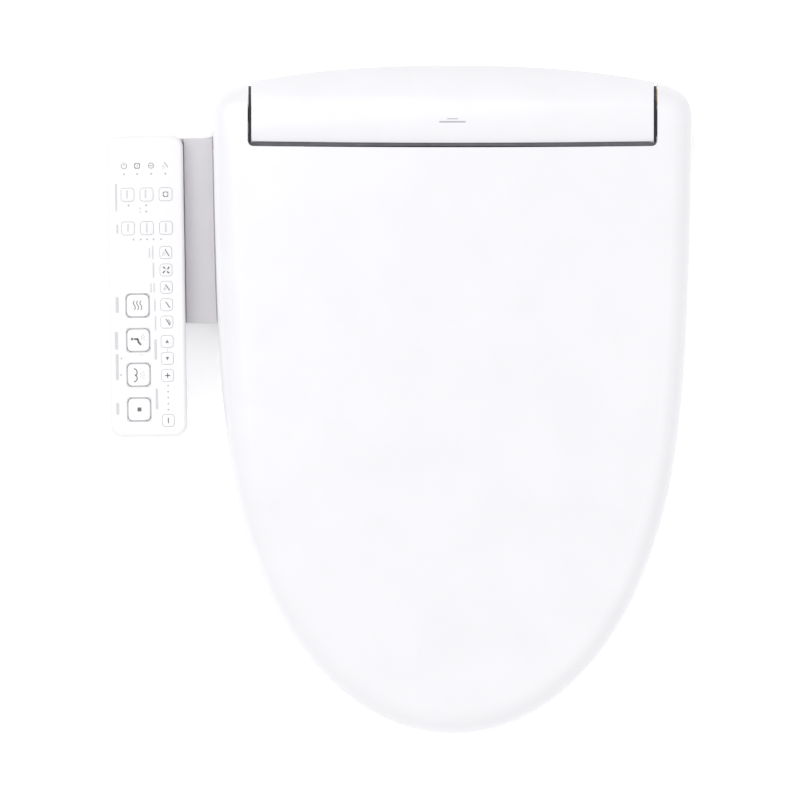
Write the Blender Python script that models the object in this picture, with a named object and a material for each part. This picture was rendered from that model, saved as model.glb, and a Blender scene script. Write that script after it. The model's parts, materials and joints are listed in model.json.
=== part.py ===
"""Electric bidet seat with a side control panel: +X to the seated user's left, +Y to the rear, +Z up.

The origin is the centre of the mounting plate's underside, on the bowl's rim. Lengths below are millimetres.
"""

import math

import bmesh
import bpy
from mathutils import Matrix, Vector

MM = 0.001
GAP = 0.3  # clearance between pieces that touch

# Plan of the lid
LID_HALF_WIDTH = 190.0
WIDEST_Y = 17.0
REAR_Y = 60.0
NOSE_Y = -470.0
REAR_SAG = 13.0  # how far the rear edge falls back at CORNER_X
CORNER_X = 160.0
SIDE_POWER = 3.35

# Side view
HINGE_Y = 22.0
HINGE_Z = 84.0
ROOF_RADIUS = 62.0  # of the lid about the hinge line
NOSE_ROOF = 60.0
CROWN = 6.0
EDGE_ROLL_WIDTH = 19.0
EDGE_ROLL_DROP = 14.0
LID_WALL = 3.0

# Housing
NOTCH_HALF = 162.3
NOTCH_Y = -4.2
RIB_Y = -9.0
RIB_FOOT = 135.7  # on the centre line; the rib clears the cover by 0.8 mm as the lid turns
SEAL_TOP = 136.3
COVER_HALF = 159.4
COVER_FRONT_Y = -0.3
COVER_RADIUS = 59.5
COVER_FOOT = 71.3
BASE_HALF = 157.0
BASE_TOP = 71.0
BASE_FLOOR = 8.0
WALL = 2.5
PIN_RADIUS = 6.0

# Seat ring
SEAT_REAR_Y = -8.0
SEAT_INSET = 2.0
SEAT_BOTTOM = 8.0
SEAT_SPLIT = 26.0
SEAT_FRONT_TOP = 38.0
SEAT_REAR_TOP = 54.0
HOLE_Y = -245.0
HOLE_HALF_X = 108.0
HOLE_HALF_Y = 153.0

# Pieces in the base's walls
SLACK = 0.35  # round a piece that slides in a window
BUTTON_LOW = Vector((150.0, 10.0, 44.0))
BUTTON_HIGH = Vector((160.5, 34.0, 56.0))
FILTER_LOW = Vector((-159.0, 14.0, 44.0))
FILTER_HIGH = Vector((-104.0, 38.0, 56.5))
PIPE_Z = 24.0
INLET_Y = 33.0
INLET_RADIUS = 8.0
GLAND_Y = 11.0
GLAND_RADIUS = 6.0

# Dryer
DRYER_X = -60.0
DRYER_Z = 48.0
DUCT_HALF = 18.0
DUCT_LOW = 15.5
DUCT_HIGH = 31.0

# Shroud under the ring's rear
SHROUD_HALF = 118.0
SHROUD_FRONT_Y = -72.0
SHROUD_TOP = 43.0

# Nozzle: the wand's axis slopes down to the front
WAND_ANGLE = math.radians(17.0)
WAND_TIP = Vector((0.0, -66.0, 12.7))
WAND_LENGTH = 113.0
WAND_RADIUS = 7.0
RACK_PITCH_X = 10.0
GEAR_MODULE = 1.0
GEAR_TEETH = 16
GEAR_ALONG = 96.0  # from the wand's rear end to the pinion

# Side panel
PANEL_CENTRE = Vector((-242.7, -114.5, 0.0))
PANEL_TURN = math.radians(0.87)
PANEL_WIDTH = 61.0
PANEL_LENGTH = 239.5
PANEL_FOOT = 42.0
PANEL_SPLIT = 58.0
PANEL_TOP = 68.0
PANEL_CORNER = 10.0
KEY_RISE = 0.6
KEY_DEPTH = 4.5
KEY_CLEARANCE = 0.35
LARGE_KEY = 19.0
ROW_KEY = 10.4
COLUMN_KEY = 9.6

# Arm from the housing to the panel
ARM_REAR_Y = 2.9
ARM_FRONT_Y = -143.8
ARM_INNER_X = -190.3
TRAY_INNER_X = -192.0  # the tray stands back a little under its cover
ARM_OUTER_X = -232.0
ARM_TOP = 41.0
LID_CLEARANCE = 0.7  # between the arm and the lid's skirt

FINISHES = {
    "gloss_white": ((0.93, 0.93, 0.95), 0.22, 0.0),
    "satin_white": ((0.90, 0.90, 0.92), 0.38, 0.0),
    "arm_grey": ((0.78, 0.77, 0.79), 0.40, 0.0),
    "soft_rubber": ((0.62, 0.62, 0.64), 0.75, 0.0),
    "black_plastic": ((0.05, 0.05, 0.055), 0.50, 0.0),
    "steel": ((0.62, 0.62, 0.64), 0.28, 1.0),
    "brass": ((0.72, 0.58, 0.32), 0.32, 1.0),
    "board_green": ((0.03, 0.20, 0.11), 0.45, 0.0),
    "foil": ((0.75, 0.42, 0.24), 0.40, 0.6),
    "inner_white": ((0.86, 0.86, 0.84), 0.50, 0.0),
}


# ---------------------------------------------------------------- making objects


def clear_scene():
    for obj in list(bpy.data.objects):
        bpy.data.objects.remove(obj, do_unlink=True)


def make_finish(name):
    colour, roughness, metallic = FINISHES[name]
    material = bpy.data.materials.new(name)
    material.use_nodes = True
    shader = material.node_tree.nodes["Principled BSDF"]
    shader.inputs["Base Color"].default_value = (*colour, 1.0)
    shader.inputs["Roughness"].default_value = roughness
    shader.inputs["Metallic"].default_value = metallic
    return material


def solid(name, verts, faces, finish, origin=(0.0, 0.0, 0.0)):
    """A mesh object from world points in millimetres, with its origin at a world point."""
    start = Vector(origin)
    mesh = bpy.data.meshes.new(name)
    mesh.from_pydata([(Vector(v) - start) * MM for v in verts], [], faces)
    shape = bmesh.new()
    shape.from_mesh(mesh)
    bmesh.ops.triangulate(shape, faces=[face for face in shape.faces if len(face.verts) == 4])
    bmesh.ops.recalc_face_normals(shape, faces=shape.faces)
    shape.to_mesh(mesh)
    shape.free()
    mesh.shade_smooth()
    mesh.set_sharp_from_angle(angle=math.radians(32))
    obj = bpy.data.objects.new(name, mesh)
    obj.location = start * MM
    bpy.context.scene.collection.objects.link(obj)
    if finish:
        material = bpy.data.materials.get(finish) or make_finish(finish)
        mesh.materials.append(material)
    return obj


def tool(verts, faces):
    """A helper solid that only cuts or joins."""
    obj = solid("tool", verts, faces, None)
    obj.hide_render = True
    obj.display_type = "WIRE"
    return obj


def combine(target, operation, shapes):
    for verts, faces in shapes:
        modifier = target.modifiers.new(operation.lower(), "BOOLEAN")
        modifier.operation = operation
        modifier.object = tool(verts, faces)
        modifier.solver = "EXACT"


def cut(target, *shapes):
    combine(target, "DIFFERENCE", shapes)


def add(target, *shapes):
    combine(target, "UNION", shapes)


# ---------------------------------------------------------------- shapes, as (verts, faces)


def prism(outline, low, high):
    """An outline in XY between two heights, each a number or a function of x and y."""
    def height(level, point):
        return level(*point) if callable(level) else level

    count = len(outline)
    verts = [(*p, height(low, p)) for p in outline]
    verts += [(*p, height(high, p)) for p in outline]
    sides = [(i, (i + 1) % count, count + (i + 1) % count, count + i) for i in range(count)]
    return verts, sides + [tuple(range(count))[::-1], tuple(range(count, 2 * count))]


def moved(shape, matrix):
    verts, faces = shape
    return [matrix @ Vector(v) for v in verts], faces


def block(low, high):
    (x0, y0, z0), (x1, y1, z1) = low, high
    return prism([(x0, y0), (x1, y0), (x1, y1), (x0, y1)], z0, z1)


def circle(radius, count):
    return [
        (radius * math.cos(2 * math.pi * i / count), radius * math.sin(2 * math.pi * i / count))
        for i in range(count)
    ]


def rounded(width, length, radius, steps=3):
    """A rectangle about the origin with round corners."""
    corners = ((1, 1, 0), (-1, 1, 90), (-1, -1, 180), (1, -1, 270))
    points = []
    for sign_x, sign_y, start in corners:
        centre_x = sign_x * (width / 2 - radius)
        centre_y = sign_y * (length / 2 - radius)
        for step in range(steps + 1):
            angle = math.radians(start + 90 * step / steps)
            points.append((centre_x + radius * math.cos(angle), centre_y + radius * math.sin(angle)))
    return points


def pointing(start, direction):
    """The matrix that stands a shape's Z axis along a direction, at a start point."""
    turn = Vector((0, 0, 1)).rotation_difference(Vector(direction)).to_matrix().to_4x4()
    return Matrix.Translation(start) @ turn


def rod(start, end, radius, count=24):
    axis = Vector(end) - Vector(start)
    return moved(prism(circle(radius, count), 0, axis.length), pointing(start, axis))


def side_plate(outline_yz, x0, x1):
    """An outline in YZ between two x positions."""
    verts, faces = prism(outline_yz, x0, x1)
    return [(x, y, z) for y, z, x in verts], faces


def loft(sections, closed_along):
    """Joins equal closed sections one after the other, capping the ends unless the run is closed."""
    count = len(sections[0])
    runs = len(sections)
    verts = [point for section in sections for point in section]
    faces = []
    for i in range(runs if closed_along else runs - 1):
        here = i * count
        there = (i + 1) % runs * count
        for j in range(count):
            k = (j + 1) % count
            faces.append((here + j, here + k, there + k, there + j))
    if not closed_along:
        faces.append(tuple(range(count))[::-1])
        faces.append(tuple(range((runs - 1) * count, runs * count)))
    return verts, faces


# ---------------------------------------------------------------- the lid's surface


def rear_line(x):
    return REAR_Y - REAR_SAG * (abs(x) / CORNER_X) ** 2.4


def hermite(start, start_pull, end, end_pull, t):
    a = 2 * t**3 - 3 * t**2 + 1
    b = t**3 - 2 * t**2 + t
    c = 3 * t**2 - 2 * t**3
    d = t**3 - t**2
    return tuple(a * p + b * u + c * q + d * v for p, u, q, v in zip(start, start_pull, end, end_pull))


def side_half_width(y):
    """The lid's half width in front of its widest line."""
    t = min(1.0, (WIDEST_Y - y) / (WIDEST_Y - NOSE_Y))
    taper = 1.8 * math.sin(math.pi * min(t, 0.6) / 0.6)
    return LID_HALF_WIDTH * math.sqrt(max(0.0, 1 - t**SIDE_POWER)) - taper


def lid_half_outline(steps=22):
    """From the rear centre round the right side to the nose."""
    points = [(CORNER_X * i / 7, rear_line(CORNER_X * i / 7)) for i in range(7)]
    start = (CORNER_X, rear_line(CORNER_X))
    end = (LID_HALF_WIDTH, WIDEST_Y)
    points += [hermite(start, (60.0, -12.0), end, (0.0, -60.0), i / 5) for i in range(5)]
    for i in range(steps):
        y = WIDEST_Y - (WIDEST_Y - NOSE_Y) * math.sin(math.pi / 2 * i / steps)
        points.append((side_half_width(y), y))
    return points + [(0.0, NOSE_Y)]


def inset(half, distance):
    """A half outline moved inwards along its normals; both ends stay on the centre line."""
    moved_points = []
    for i, (x, y) in enumerate(half):
        if i in (0, len(half) - 1):
            moved_points.append((0.0, y - distance if i == 0 else y + distance))
            continue
        along = Vector(half[i + 1]) - Vector(half[i - 1])
        normal = Vector((-along.y, along.x)).normalized()
        moved_points.append((x - normal.x * distance, y - normal.y * distance))
    return moved_points


def mirrored(half):
    """The closed outline of a half, from the rear centre round to it again."""
    return half + [(-x, y) for x, y in half[-2:0:-1]]


def roof(y):
    """Height of the lid's centre line: round over the hinge, then an almost straight fall to the nose."""
    if y > HINGE_Y:
        return HINGE_Z + math.sqrt(ROOF_RADIUS**2 - (y - HINGE_Y) ** 2)
    share = (HINGE_Y - y) / (HINGE_Y - NOSE_Y)
    return HINGE_Z + ROOF_RADIUS - (HINGE_Z + ROOF_RADIUS - NOSE_ROOF) * share**1.12


def crown(x):
    return CROWN * (x / LID_HALF_WIDTH) ** 2


def edge_drop(distance):
    share = max(0.0, 1 - distance / EDGE_ROLL_WIDTH)
    return EDGE_ROLL_DROP * (1 - math.sqrt(1 - share**2))


def seat_top_height(y):
    share = (SEAT_REAR_Y - y) / (SEAT_REAR_Y - NOSE_Y)
    return SEAT_REAR_TOP + (SEAT_FRONT_TOP - SEAT_REAR_TOP) * share


def lid_edge_height(y):
    """The skirt's lower edge follows the ring, and rises beside the housing to clear the hinge's sweep."""
    if y <= SEAT_REAR_Y:
        return seat_top_height(y) - 3.0
    rise = HINGE_Z - SEAT_REAR_TOP + 3.0
    return SEAT_REAR_TOP - 3.0 + rise * math.sin(math.pi / 2 * min(1.0, (y - SEAT_REAR_Y) / 48.0))


def dome(half, insets, lower, thickness):
    """Rings from the skirt's lower edge up and inwards over the rolled edge, on one side of the wall."""
    rings = [[(x, y, lid_edge_height(y)) for x, y in mirrored(inset(half, lower))]]
    for distance in insets:
        ring = mirrored(inset(half, lower + distance))
        rings.append([(x, y, roof(y) - crown(x) - edge_drop(distance) - thickness) for x, y in ring])
    return rings


def lid_shape():
    """The lid before its notch: an outer dome and an inner one, joined round the skirt's lower edge."""
    half = lid_half_outline()
    outer = dome(half, (0.0, 1.0, 3.5, 7.5, 12.5, 19.0), 0.0, 0.0)
    inner = dome(half, (0.0, 1.0, 4.5, 9.5, 16.0), LID_WALL, LID_WALL)
    rings = outer[::-1] + inner
    count = len(rings[0])
    verts = [point for ring in rings for point in ring]
    faces = []
    for i in range(len(rings) - 1):
        for j in range(count):
            k = (j + 1) % count
            faces.append((i * count + j, i * count + k, (i + 1) * count + k, (i + 1) * count + j))
    span = 8
    for start, thickness in ((0, 0.0), ((len(rings) - 1) * count, LID_WALL)):
        faces += rungs(verts, start, count, span, thickness)
    return verts, faces


def rungs(verts, start, count, span, thickness):
    """Fills the innermost ring with rows across the lid, one for each pair of mirrored points."""
    last = count // 2
    rows = []
    for k in range(1, last):
        right = start + k
        left = start + count - k
        x, y, _ = verts[right]
        row = [right]
        for step in range(1, span):
            across = x * (1 - 2 * step / span)
            row.append(len(verts))
            verts.append((across, y, roof(y) - crown(across) - thickness))
        rows.append([*row, left])
    faces = [(start, *rows[0]), (start + last, *rows[-1][::-1])]
    for upper, lower in zip(rows, rows[1:]):
        faces += [(upper[j], upper[j + 1], lower[j + 1], lower[j]) for j in range(span)]
    return faces


def lid_arm_wall(side):
    """The lid arm's inner wall, which carries the hinge bore."""
    ys = [NOTCH_Y - 10 + 5 * i for i in range(12)]
    top = [(y, roof(y) - crown(NOTCH_HALF) - edge_drop(rear_line(NOTCH_HALF) - y) - 1.5) for y in ys]
    outline = top + [(ys[-1], HINGE_Z + 4), (HINGE_Y + 12, HINGE_Z - 11), (HINGE_Y - 8, HINGE_Z - 13)]
    outline += [(ys[0], HINGE_Z + 12)]
    return side_plate(outline, side * (NOTCH_HALF + 0.1), side * (NOTCH_HALF + WALL))


def notch_tool():
    """The space the housing takes in the lid, with round inner corners and a front edge bowed by 1.4 mm."""
    radius = 4.5
    front = []
    for i in range(9):
        x = (NOTCH_HALF - radius) * (i / 4 - 1)
        front.append((x, NOTCH_Y - 1.4 * (1 - (x / NOTCH_HALF) ** 2)))
    corners = []
    for step in range(1, 4):
        angle = math.radians(90 * step / 3)
        corner_x = NOTCH_HALF - radius + radius * math.sin(angle)
        corners.append((corner_x, NOTCH_Y + radius - radius * math.cos(angle)))
    right = corners + [(NOTCH_HALF, 90.0)]
    left = [(-x, y) for x, y in right[::-1]]
    return prism(left + front + right, 10.0, 200.0)


def bar_across(half, rear, front, foot, top):
    """A bar along X whose foot and top are functions of x and y."""
    sections = []
    for i in range(17):
        x = half * (i / 8 - 1)
        lower = [(x, front, foot(x, front)), (x, rear, foot(x, rear))]
        sections.append(lower + [(x, rear, top(x, rear)), (x, front, top(x, front))])
    return loft(sections, closed_along=False)


def lid_rib():
    """A rib under the lid's roof that closes the view through the gap in front of the housing."""
    top = LID_WALL / 2
    return bar_across(
        158.0, RIB_Y, RIB_Y - 2.0, lambda x, y: RIB_FOOT - crown(x), lambda x, y: roof(y) - crown(x) - top
    )


def make_lid():
    axis = (0, HINGE_Y, HINGE_Z)
    lid = solid("lid_shell", *lid_shape(), "gloss_white", axis)
    add(lid, lid_arm_wall(1), lid_arm_wall(-1), lid_rib())
    bore = rod((-NOTCH_HALF - 8, *axis[1:]), (NOTCH_HALF + 8, *axis[1:]), PIN_RADIUS + GAP)
    cut(lid, notch_tool(), bore)
    for side, name in ((-1, "left"), (1, "right")):
        x, y = side * 60.0, -425.0
        low = (x, y, seat_top_height(y) + GAP)
        high = (x, y, roof(y) - crown(x) - LID_WALL - 1.2)
        solid(f"lid_buffer_{name}", *rod(low, high, 5.5, 16), "soft_rubber", axis)


# ---------------------------------------------------------------- the seat ring


def seat_half_outline():
    """The ring's outer edge: square to the housing at the rear, then the lid's outline a little smaller."""
    edge = 8.0
    half_width = side_half_width(SEAT_REAR_Y - edge) - SEAT_INSET
    points = [(half_width * share, SEAT_REAR_Y) for share in (0, 0.2, 0.4, 0.6, 0.8)]
    for degrees in (0, 30, 60, 90):
        angle = math.radians(degrees)
        corner_x = half_width - edge + edge * math.sin(angle)
        points.append((corner_x, SEAT_REAR_Y - edge + edge * math.cos(angle)))
    lid = inset(lid_half_outline(), SEAT_INSET)
    return points + [(x, y) for x, y in lid if y < SEAT_REAR_Y - edge - 6]


def hole_point(x, y):
    """Where the ray from the hole's centre to a point of the ring's outer edge crosses the hole's edge."""
    dx, dy = x, y - HOLE_Y
    reach = 1 / math.hypot(dx / HOLE_HALF_X, dy / HOLE_HALF_Y)
    return dx * reach, HOLE_Y + dy * reach


def ring(profile):
    """A closed band round the hole. A profile point is a share of the way in, an inset and a height."""
    sections = []
    for x, y in mirrored(seat_half_outline()):
        outer = Vector((x, y))
        inner = Vector(hole_point(x, y))
        inwards = (inner - outer).normalized()
        section = []
        for share, extra, height in profile:
            place = outer.lerp(inner, share) + inwards * extra
            level = height(place.y) if callable(height) else height
            section.append((place.x, place.y, level))
        sections.append(section)
    return loft(sections, closed_along=True)


def below_top(drop):
    return lambda y: seat_top_height(y) - drop


def seat_ear(side):
    """The arm from the ring's rear corner up to the hinge pin."""
    outline = []
    for step in range(11):
        angle = math.radians(-105 + 265 * step / 10)
        outline.append((HINGE_Y + 15 * math.cos(angle), HINGE_Z + 15 * math.sin(angle)))
    outline += [(SEAT_REAR_Y - 2, 51.5), (SEAT_REAR_Y - 2, 43.5), (SEAT_REAR_Y + 4, 43.5)]
    return side_plate(outline, side * 167.5, side * 177.5)


def tunnel_walls(low, high):
    """The walls that close the ring round the space over the shroud, open in the middle for the nozzle."""
    side_x = SHROUD_HALF + 3
    front_y = SHROUD_FRONT_Y - 23
    rear_y = SEAT_REAR_Y - 1.5
    corner = [(32, front_y - 3), (side_x + 3, front_y - 3), (side_x + 3, rear_y), (side_x - 1, rear_y)]
    corner += [(side_x - 1, front_y + 1), (32, front_y + 1)]
    return [prism([(side * x, y) for x, y in corner], low, high) for side in (-1, 1)]


def tunnel_space(top, margin=0.0):
    x = SHROUD_HALF + 3 + margin
    return block((-x, SHROUD_FRONT_Y - 23 - margin, -5), (x, 10, top))


def make_seat():
    axis = (0, HINGE_Y, HINGE_Z)
    wall = 2.8
    outside = [(0, 0, SEAT_SPLIT), (0, 0, below_top(10)), (0, 1.6, below_top(5))]
    outside += [(0, 5, below_top(1.4))]
    outside += [(0, 12, below_top(0)), (0.5, 0, below_top(1.6)), (1, -12, below_top(3.2))]
    outside += [(1, -4, below_top(6)), (1, 0, below_top(11)), (1, 0, SEAT_SPLIT)]
    inside = [(1, -wall, SEAT_SPLIT), (1, -wall, below_top(11)), (1, -12, below_top(6.4))]
    inside += [(0.5, 0, below_top(4.8)), (0, 12, below_top(3.2)), (0, wall, below_top(10))]
    inside += [(0, wall, SEAT_SPLIT)]
    top = solid("seat_top", *ring(outside + inside), "gloss_white", axis)
    add(top, seat_ear(1), seat_ear(-1))
    bore = rod((-185, *axis[1:]), (185, *axis[1:]), PIN_RADIUS + GAP)
    ceiling = SHROUD_TOP + 2
    roof_plate = block((-121.6, -90, ceiling - 1), (121.6, -10, ceiling + 1.5))
    add(top, *tunnel_walls(SEAT_SPLIT + GAP, ceiling + 0.7), roof_plate)
    cut(top, bore, tunnel_space(ceiling))

    lid_of_tray = SEAT_SPLIT - GAP
    floor = SEAT_BOTTOM + 3
    tray = [(0, 3, SEAT_BOTTOM), (0, 0, SEAT_BOTTOM + 3), (0, 0, lid_of_tray), (0, wall, lid_of_tray)]
    tray += [(0, wall, floor), (1, -wall, floor), (1, -wall, lid_of_tray), (1, 0, lid_of_tray)]
    tray += [(1, 0, SEAT_BOTTOM + 3), (1, -3, SEAT_BOTTOM)]
    bottom = solid("seat_bottom", *ring(tray), "satin_white", axis)
    add(bottom, *tunnel_walls(SEAT_BOTTOM + GAP, lid_of_tray - GAP))
    cut(bottom, tunnel_space(ceiling))

    film = [(0.22, 0, below_top(7.6)), (0.22, 0, below_top(6.8))]
    film += [(0.75, 0, below_top(6.8)), (0.75, 0, below_top(7.6))]
    heater = solid("seat_heater", *ring(film), "foil", axis)
    cut(heater, tunnel_space(60, 6))

    for row, half_spacing, y in (("rear", 140, -110), ("front", 88, -385)):
        for side, word in ((1, "right"), (-1, "left")):
            x = side * half_spacing
            foot = rod((x, y, 0), (x, y, SEAT_BOTTOM - GAP), 9.0, 20)
            solid(f"seat_buffer_{row}_{word}", *foot, "soft_rubber", axis)


# ---------------------------------------------------------------- the housing


def cover_section(x, shrink, foot):
    """The cover's closed outline at one x, going up the front, over the top and down the rear."""
    radius = COVER_RADIUS - crown(x) - shrink
    front = COVER_FRONT_Y + shrink - HINGE_Y
    rear = rear_line(x) - shrink - HINGE_Y
    start = math.acos(front / radius)
    end = math.acos(min(rear / radius, 0.999))
    points = [(x, HINGE_Y + front, foot)]
    for step in range(9):
        angle = start + (end - start) * step / 8
        points.append((x, HINGE_Y + radius * math.cos(angle), HINGE_Z + radius * math.sin(angle)))
    return points + [(x, HINGE_Y + rear, foot)]


def cover_shape(half, shrink, foot):
    count = 12
    stations = [half * (2 * i / count - 1) for i in range(count + 1)]
    return loft([cover_section(x, shrink, foot) for x in stations], closed_along=False)


def make_cover():
    cover = solid("rear_cover", *cover_shape(COVER_HALF, 0.0, COVER_FOOT), "gloss_white")
    pins = rod((-170, HINGE_Y, HINGE_Z), (170, HINGE_Y, HINGE_Z), PIN_RADIUS + GAP)
    cut(cover, cover_shape(COVER_HALF - WALL, WALL, COVER_FOOT - 20), pins)


def make_gap_seal():
    """A rubber strip along the cover's front and ends, in the gap between the cover and the lid."""
    outer = NOTCH_HALF - 0.5
    inner = COVER_HALF + GAP
    rear_y = COVER_FRONT_Y - GAP
    front_y = NOTCH_Y + 0.3
    front = bar_across(outer - 0.6, rear_y, front_y, lambda x, y: 118.0, lambda x, y: SEAL_TOP - crown(x))
    seal = solid("gap_seal", *front, "soft_rubber")
    start = rear_y - 0.5
    pin_top = HINGE_Z + 11
    for side in (-1, 1):
        profile = [(start, pin_top), (44.0, pin_top), (44.0, 118.0), (36.0, 126.0), (start, 126.0)]
        add(seal, side_plate(profile, side * inner, side * outer))


def housing_plan(edge):
    """The base's outline, drawn in by an edge distance."""
    half = BASE_HALF - edge
    rear = [(half * (1 - i / 6), rear_line(half * (1 - i / 6)) - 2 - edge) for i in range(13)]
    return [(-half, COVER_FRONT_Y + 0.3 + edge), (half, COVER_FRONT_Y + 0.3 + edge)] + rear


def make_base():
    base = solid("base_shell", *prism(housing_plan(0), 0.5, BASE_TOP), "satin_white")
    room = prism(housing_plan(WALL), BASE_FLOOR + WALL, BASE_TOP + 20)
    recess = prism(housing_plan(WALL), -10, BASE_FLOOR)
    plate_way = block((-97, -10, -10), (97, 12, BASE_FLOOR))
    nozzle_way = block((-14, -10, 20), (14, 10, 46))
    air_way = block((DRYER_X - 22, -10, 13), (DRYER_X + 22, 10, 37))
    margin = Vector((10, SLACK, SLACK))
    button_way = block(BUTTON_LOW - margin, BUTTON_HIGH + margin)
    filter_way = block(FILTER_LOW - margin, Vector((-140, *FILTER_HIGH.yz)) + Vector((0, SLACK, SLACK)))
    inlet_way = rod((140, INLET_Y, PIPE_Z), (170, INLET_Y, PIPE_Z), INLET_RADIUS + GAP)
    gland_way = rod((140, GLAND_Y, PIPE_Z), (170, GLAND_Y, PIPE_Z), GLAND_RADIUS + GAP)
    cut(base, room, recess, plate_way, nozzle_way, air_way, button_way, filter_way, inlet_way, gland_way)


def make_shroud():
    """The hood under the ring's rear edge: open below and behind, with two mouths in front."""
    low = (-SHROUD_HALF, SHROUD_FRONT_Y, 3)
    high = (SHROUD_HALF, COVER_FRONT_Y, SHROUD_TOP)
    verts, faces = block(low, high)
    shroud = solid("front_shroud", verts, faces, "satin_white")
    inner_x = SHROUD_HALF - WALL
    room = block((-inner_x, SHROUD_FRONT_Y + WALL, -5), (inner_x, 10, SHROUD_TOP - WALL))
    nozzle_mouth = block((-12, SHROUD_FRONT_Y - 5, -5), (13, SHROUD_FRONT_Y + 5, 24))
    mouth_half = DUCT_HALF + 1
    air_low = (DRYER_X - mouth_half, SHROUD_FRONT_Y - 5, 15)
    air_mouth = block(air_low, (DRYER_X + mouth_half, SHROUD_FRONT_Y + 5, DUCT_HIGH))
    cut(shroud, room, nozzle_mouth, air_mouth)


def make_mounting_plate():
    plate = solid("mounting_plate", *prism(rounded(190, 60, 8), 0, 5), "satin_white")
    slots = [
        moved(prism(rounded(11, 34, 5.4), -5, 15), Matrix.Translation((x, 0, 0))) for x in (-70, 70)
    ]
    cut(plate, *slots)
    catch = block((-12, 14, 3), (12, 24, 7.4))
    add(plate, catch)


def make_hinges():
    for side, word in ((-1, "left"), (1, "right")):
        pin_start = (side * 151, HINGE_Y, HINGE_Z)
        pin = solid(f"hinge_pin_{word}", *rod(pin_start, (side * 184, HINGE_Y, HINGE_Z), PIN_RADIUS), "steel")
        add(pin, rod((side * 159.8, HINGE_Y, HINGE_Z), (side * 161.9, HINGE_Y, HINGE_Z), 9.0))
    for side, name in ((-1, "seat_damper"), (1, "lid_damper")):
        start = (side * (151 - GAP), HINGE_Y, HINGE_Z)
        damper = solid(name, *rod(start, (side * 104, HINGE_Y, HINGE_Z), 10.0), "black_plastic")
        add(damper, rod((side * 106, HINGE_Y, HINGE_Z), (side * 96, HINGE_Y, HINGE_Z), 4.0, 16))


def make_release_button():
    middle = (BUTTON_LOW + BUTTON_HIGH) / 2
    face = (BUTTON_HIGH.x, middle.y, middle.z)
    button = solid("release_button", *block(BUTTON_LOW, BUTTON_HIGH), "satin_white", face)
    grooves = [block((160, 14 + 5 * i, 40), (165, 15.4 + 5 * i, 60)) for i in range(4)]
    cut(button, *grooves)


def make_odour_filter():
    outer_end = (FILTER_LOW.x, (FILTER_LOW.y + FILTER_HIGH.y) / 2, 50.0)
    cartridge = solid("odour_filter", *block(FILTER_LOW, FILTER_HIGH), "inner_white", outer_end)
    vents = [block((-150, 17 + 5 * i, 40), (-112, 19 + 5 * i, 70)) for i in range(4)]
    cut(cartridge, *vents)


# ---------------------------------------------------------------- inside the housing


def wand_frame():
    """The wand's own axes: X across, Z along it towards its tip, with its rear end at the origin."""
    direction = Vector((0, -math.cos(WAND_ANGLE), -math.sin(WAND_ANGLE)))
    side = Vector((1, 0, 0))
    up = direction.cross(side)
    turn = Matrix((side, up, direction)).transposed().to_4x4()
    return Matrix.Translation(WAND_TIP - direction * WAND_LENGTH) @ turn


def rack_teeth():
    """The wand's rack as an outline of side offset against length, cut for a 20 degree gear."""
    pitch = math.pi * GEAR_MODULE
    slope = math.tan(math.radians(20))
    gap = 0.12  # backlash on each flank
    tip_half = pitch / 4 - GEAR_MODULE * slope - gap
    root_half = pitch / 4 + GEAR_MODULE * slope - gap
    outline = [(WAND_RADIUS - 3, 2.0)]
    first = GEAR_ALONG % pitch
    for i in range(int((WAND_LENGTH - 12) / pitch)):
        centre = first + i * pitch
        if centre < 4:
            continue
        outline.append((RACK_PITCH_X - GEAR_MODULE, centre - root_half))
        outline.append((RACK_PITCH_X + GEAR_MODULE * 0.9, centre - tip_half))
        outline.append((RACK_PITCH_X + GEAR_MODULE * 0.9, centre + tip_half))
        outline.append((RACK_PITCH_X - GEAR_MODULE, centre + root_half))
    outline.append((WAND_RADIUS - 3, WAND_LENGTH - 10))
    verts, faces = prism(outline, -2.2, 2.2)
    return [(x, y, z) for x, z, y in verts], faces


def gear_outline():
    """A spur gear's outline, its flanks true involutes, with a tooth space at angle 180 degrees."""
    pitch_radius = GEAR_MODULE * GEAR_TEETH / 2
    base_radius = pitch_radius * math.cos(math.radians(20))
    tip_radius = pitch_radius + GEAR_MODULE * 0.9
    root_radius = pitch_radius - GEAR_MODULE * 1.25
    spread = math.tan(math.radians(20)) - math.radians(20)
    half_tooth = math.pi / (2 * GEAR_TEETH) - 0.12 / pitch_radius
    radii = [base_radius + (tip_radius - base_radius) * i / 3 for i in range(4)]
    flank = []
    for radius in radii:
        pressure = math.acos(base_radius / radius)
        flank.append((radius, half_tooth + spread - (math.tan(pressure) - pressure)))
    flank = [(root_radius, flank[0][1])] + flank
    points = []
    for tooth in range(GEAR_TEETH):
        centre = math.pi + 2 * math.pi * (tooth + 0.5) / GEAR_TEETH
        for radius, angle in flank:
            points.append((radius * math.cos(centre - angle), radius * math.sin(centre - angle)))
        for radius, angle in flank[::-1]:
            points.append((radius * math.cos(centre + angle), radius * math.sin(centre + angle)))
    return points


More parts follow.
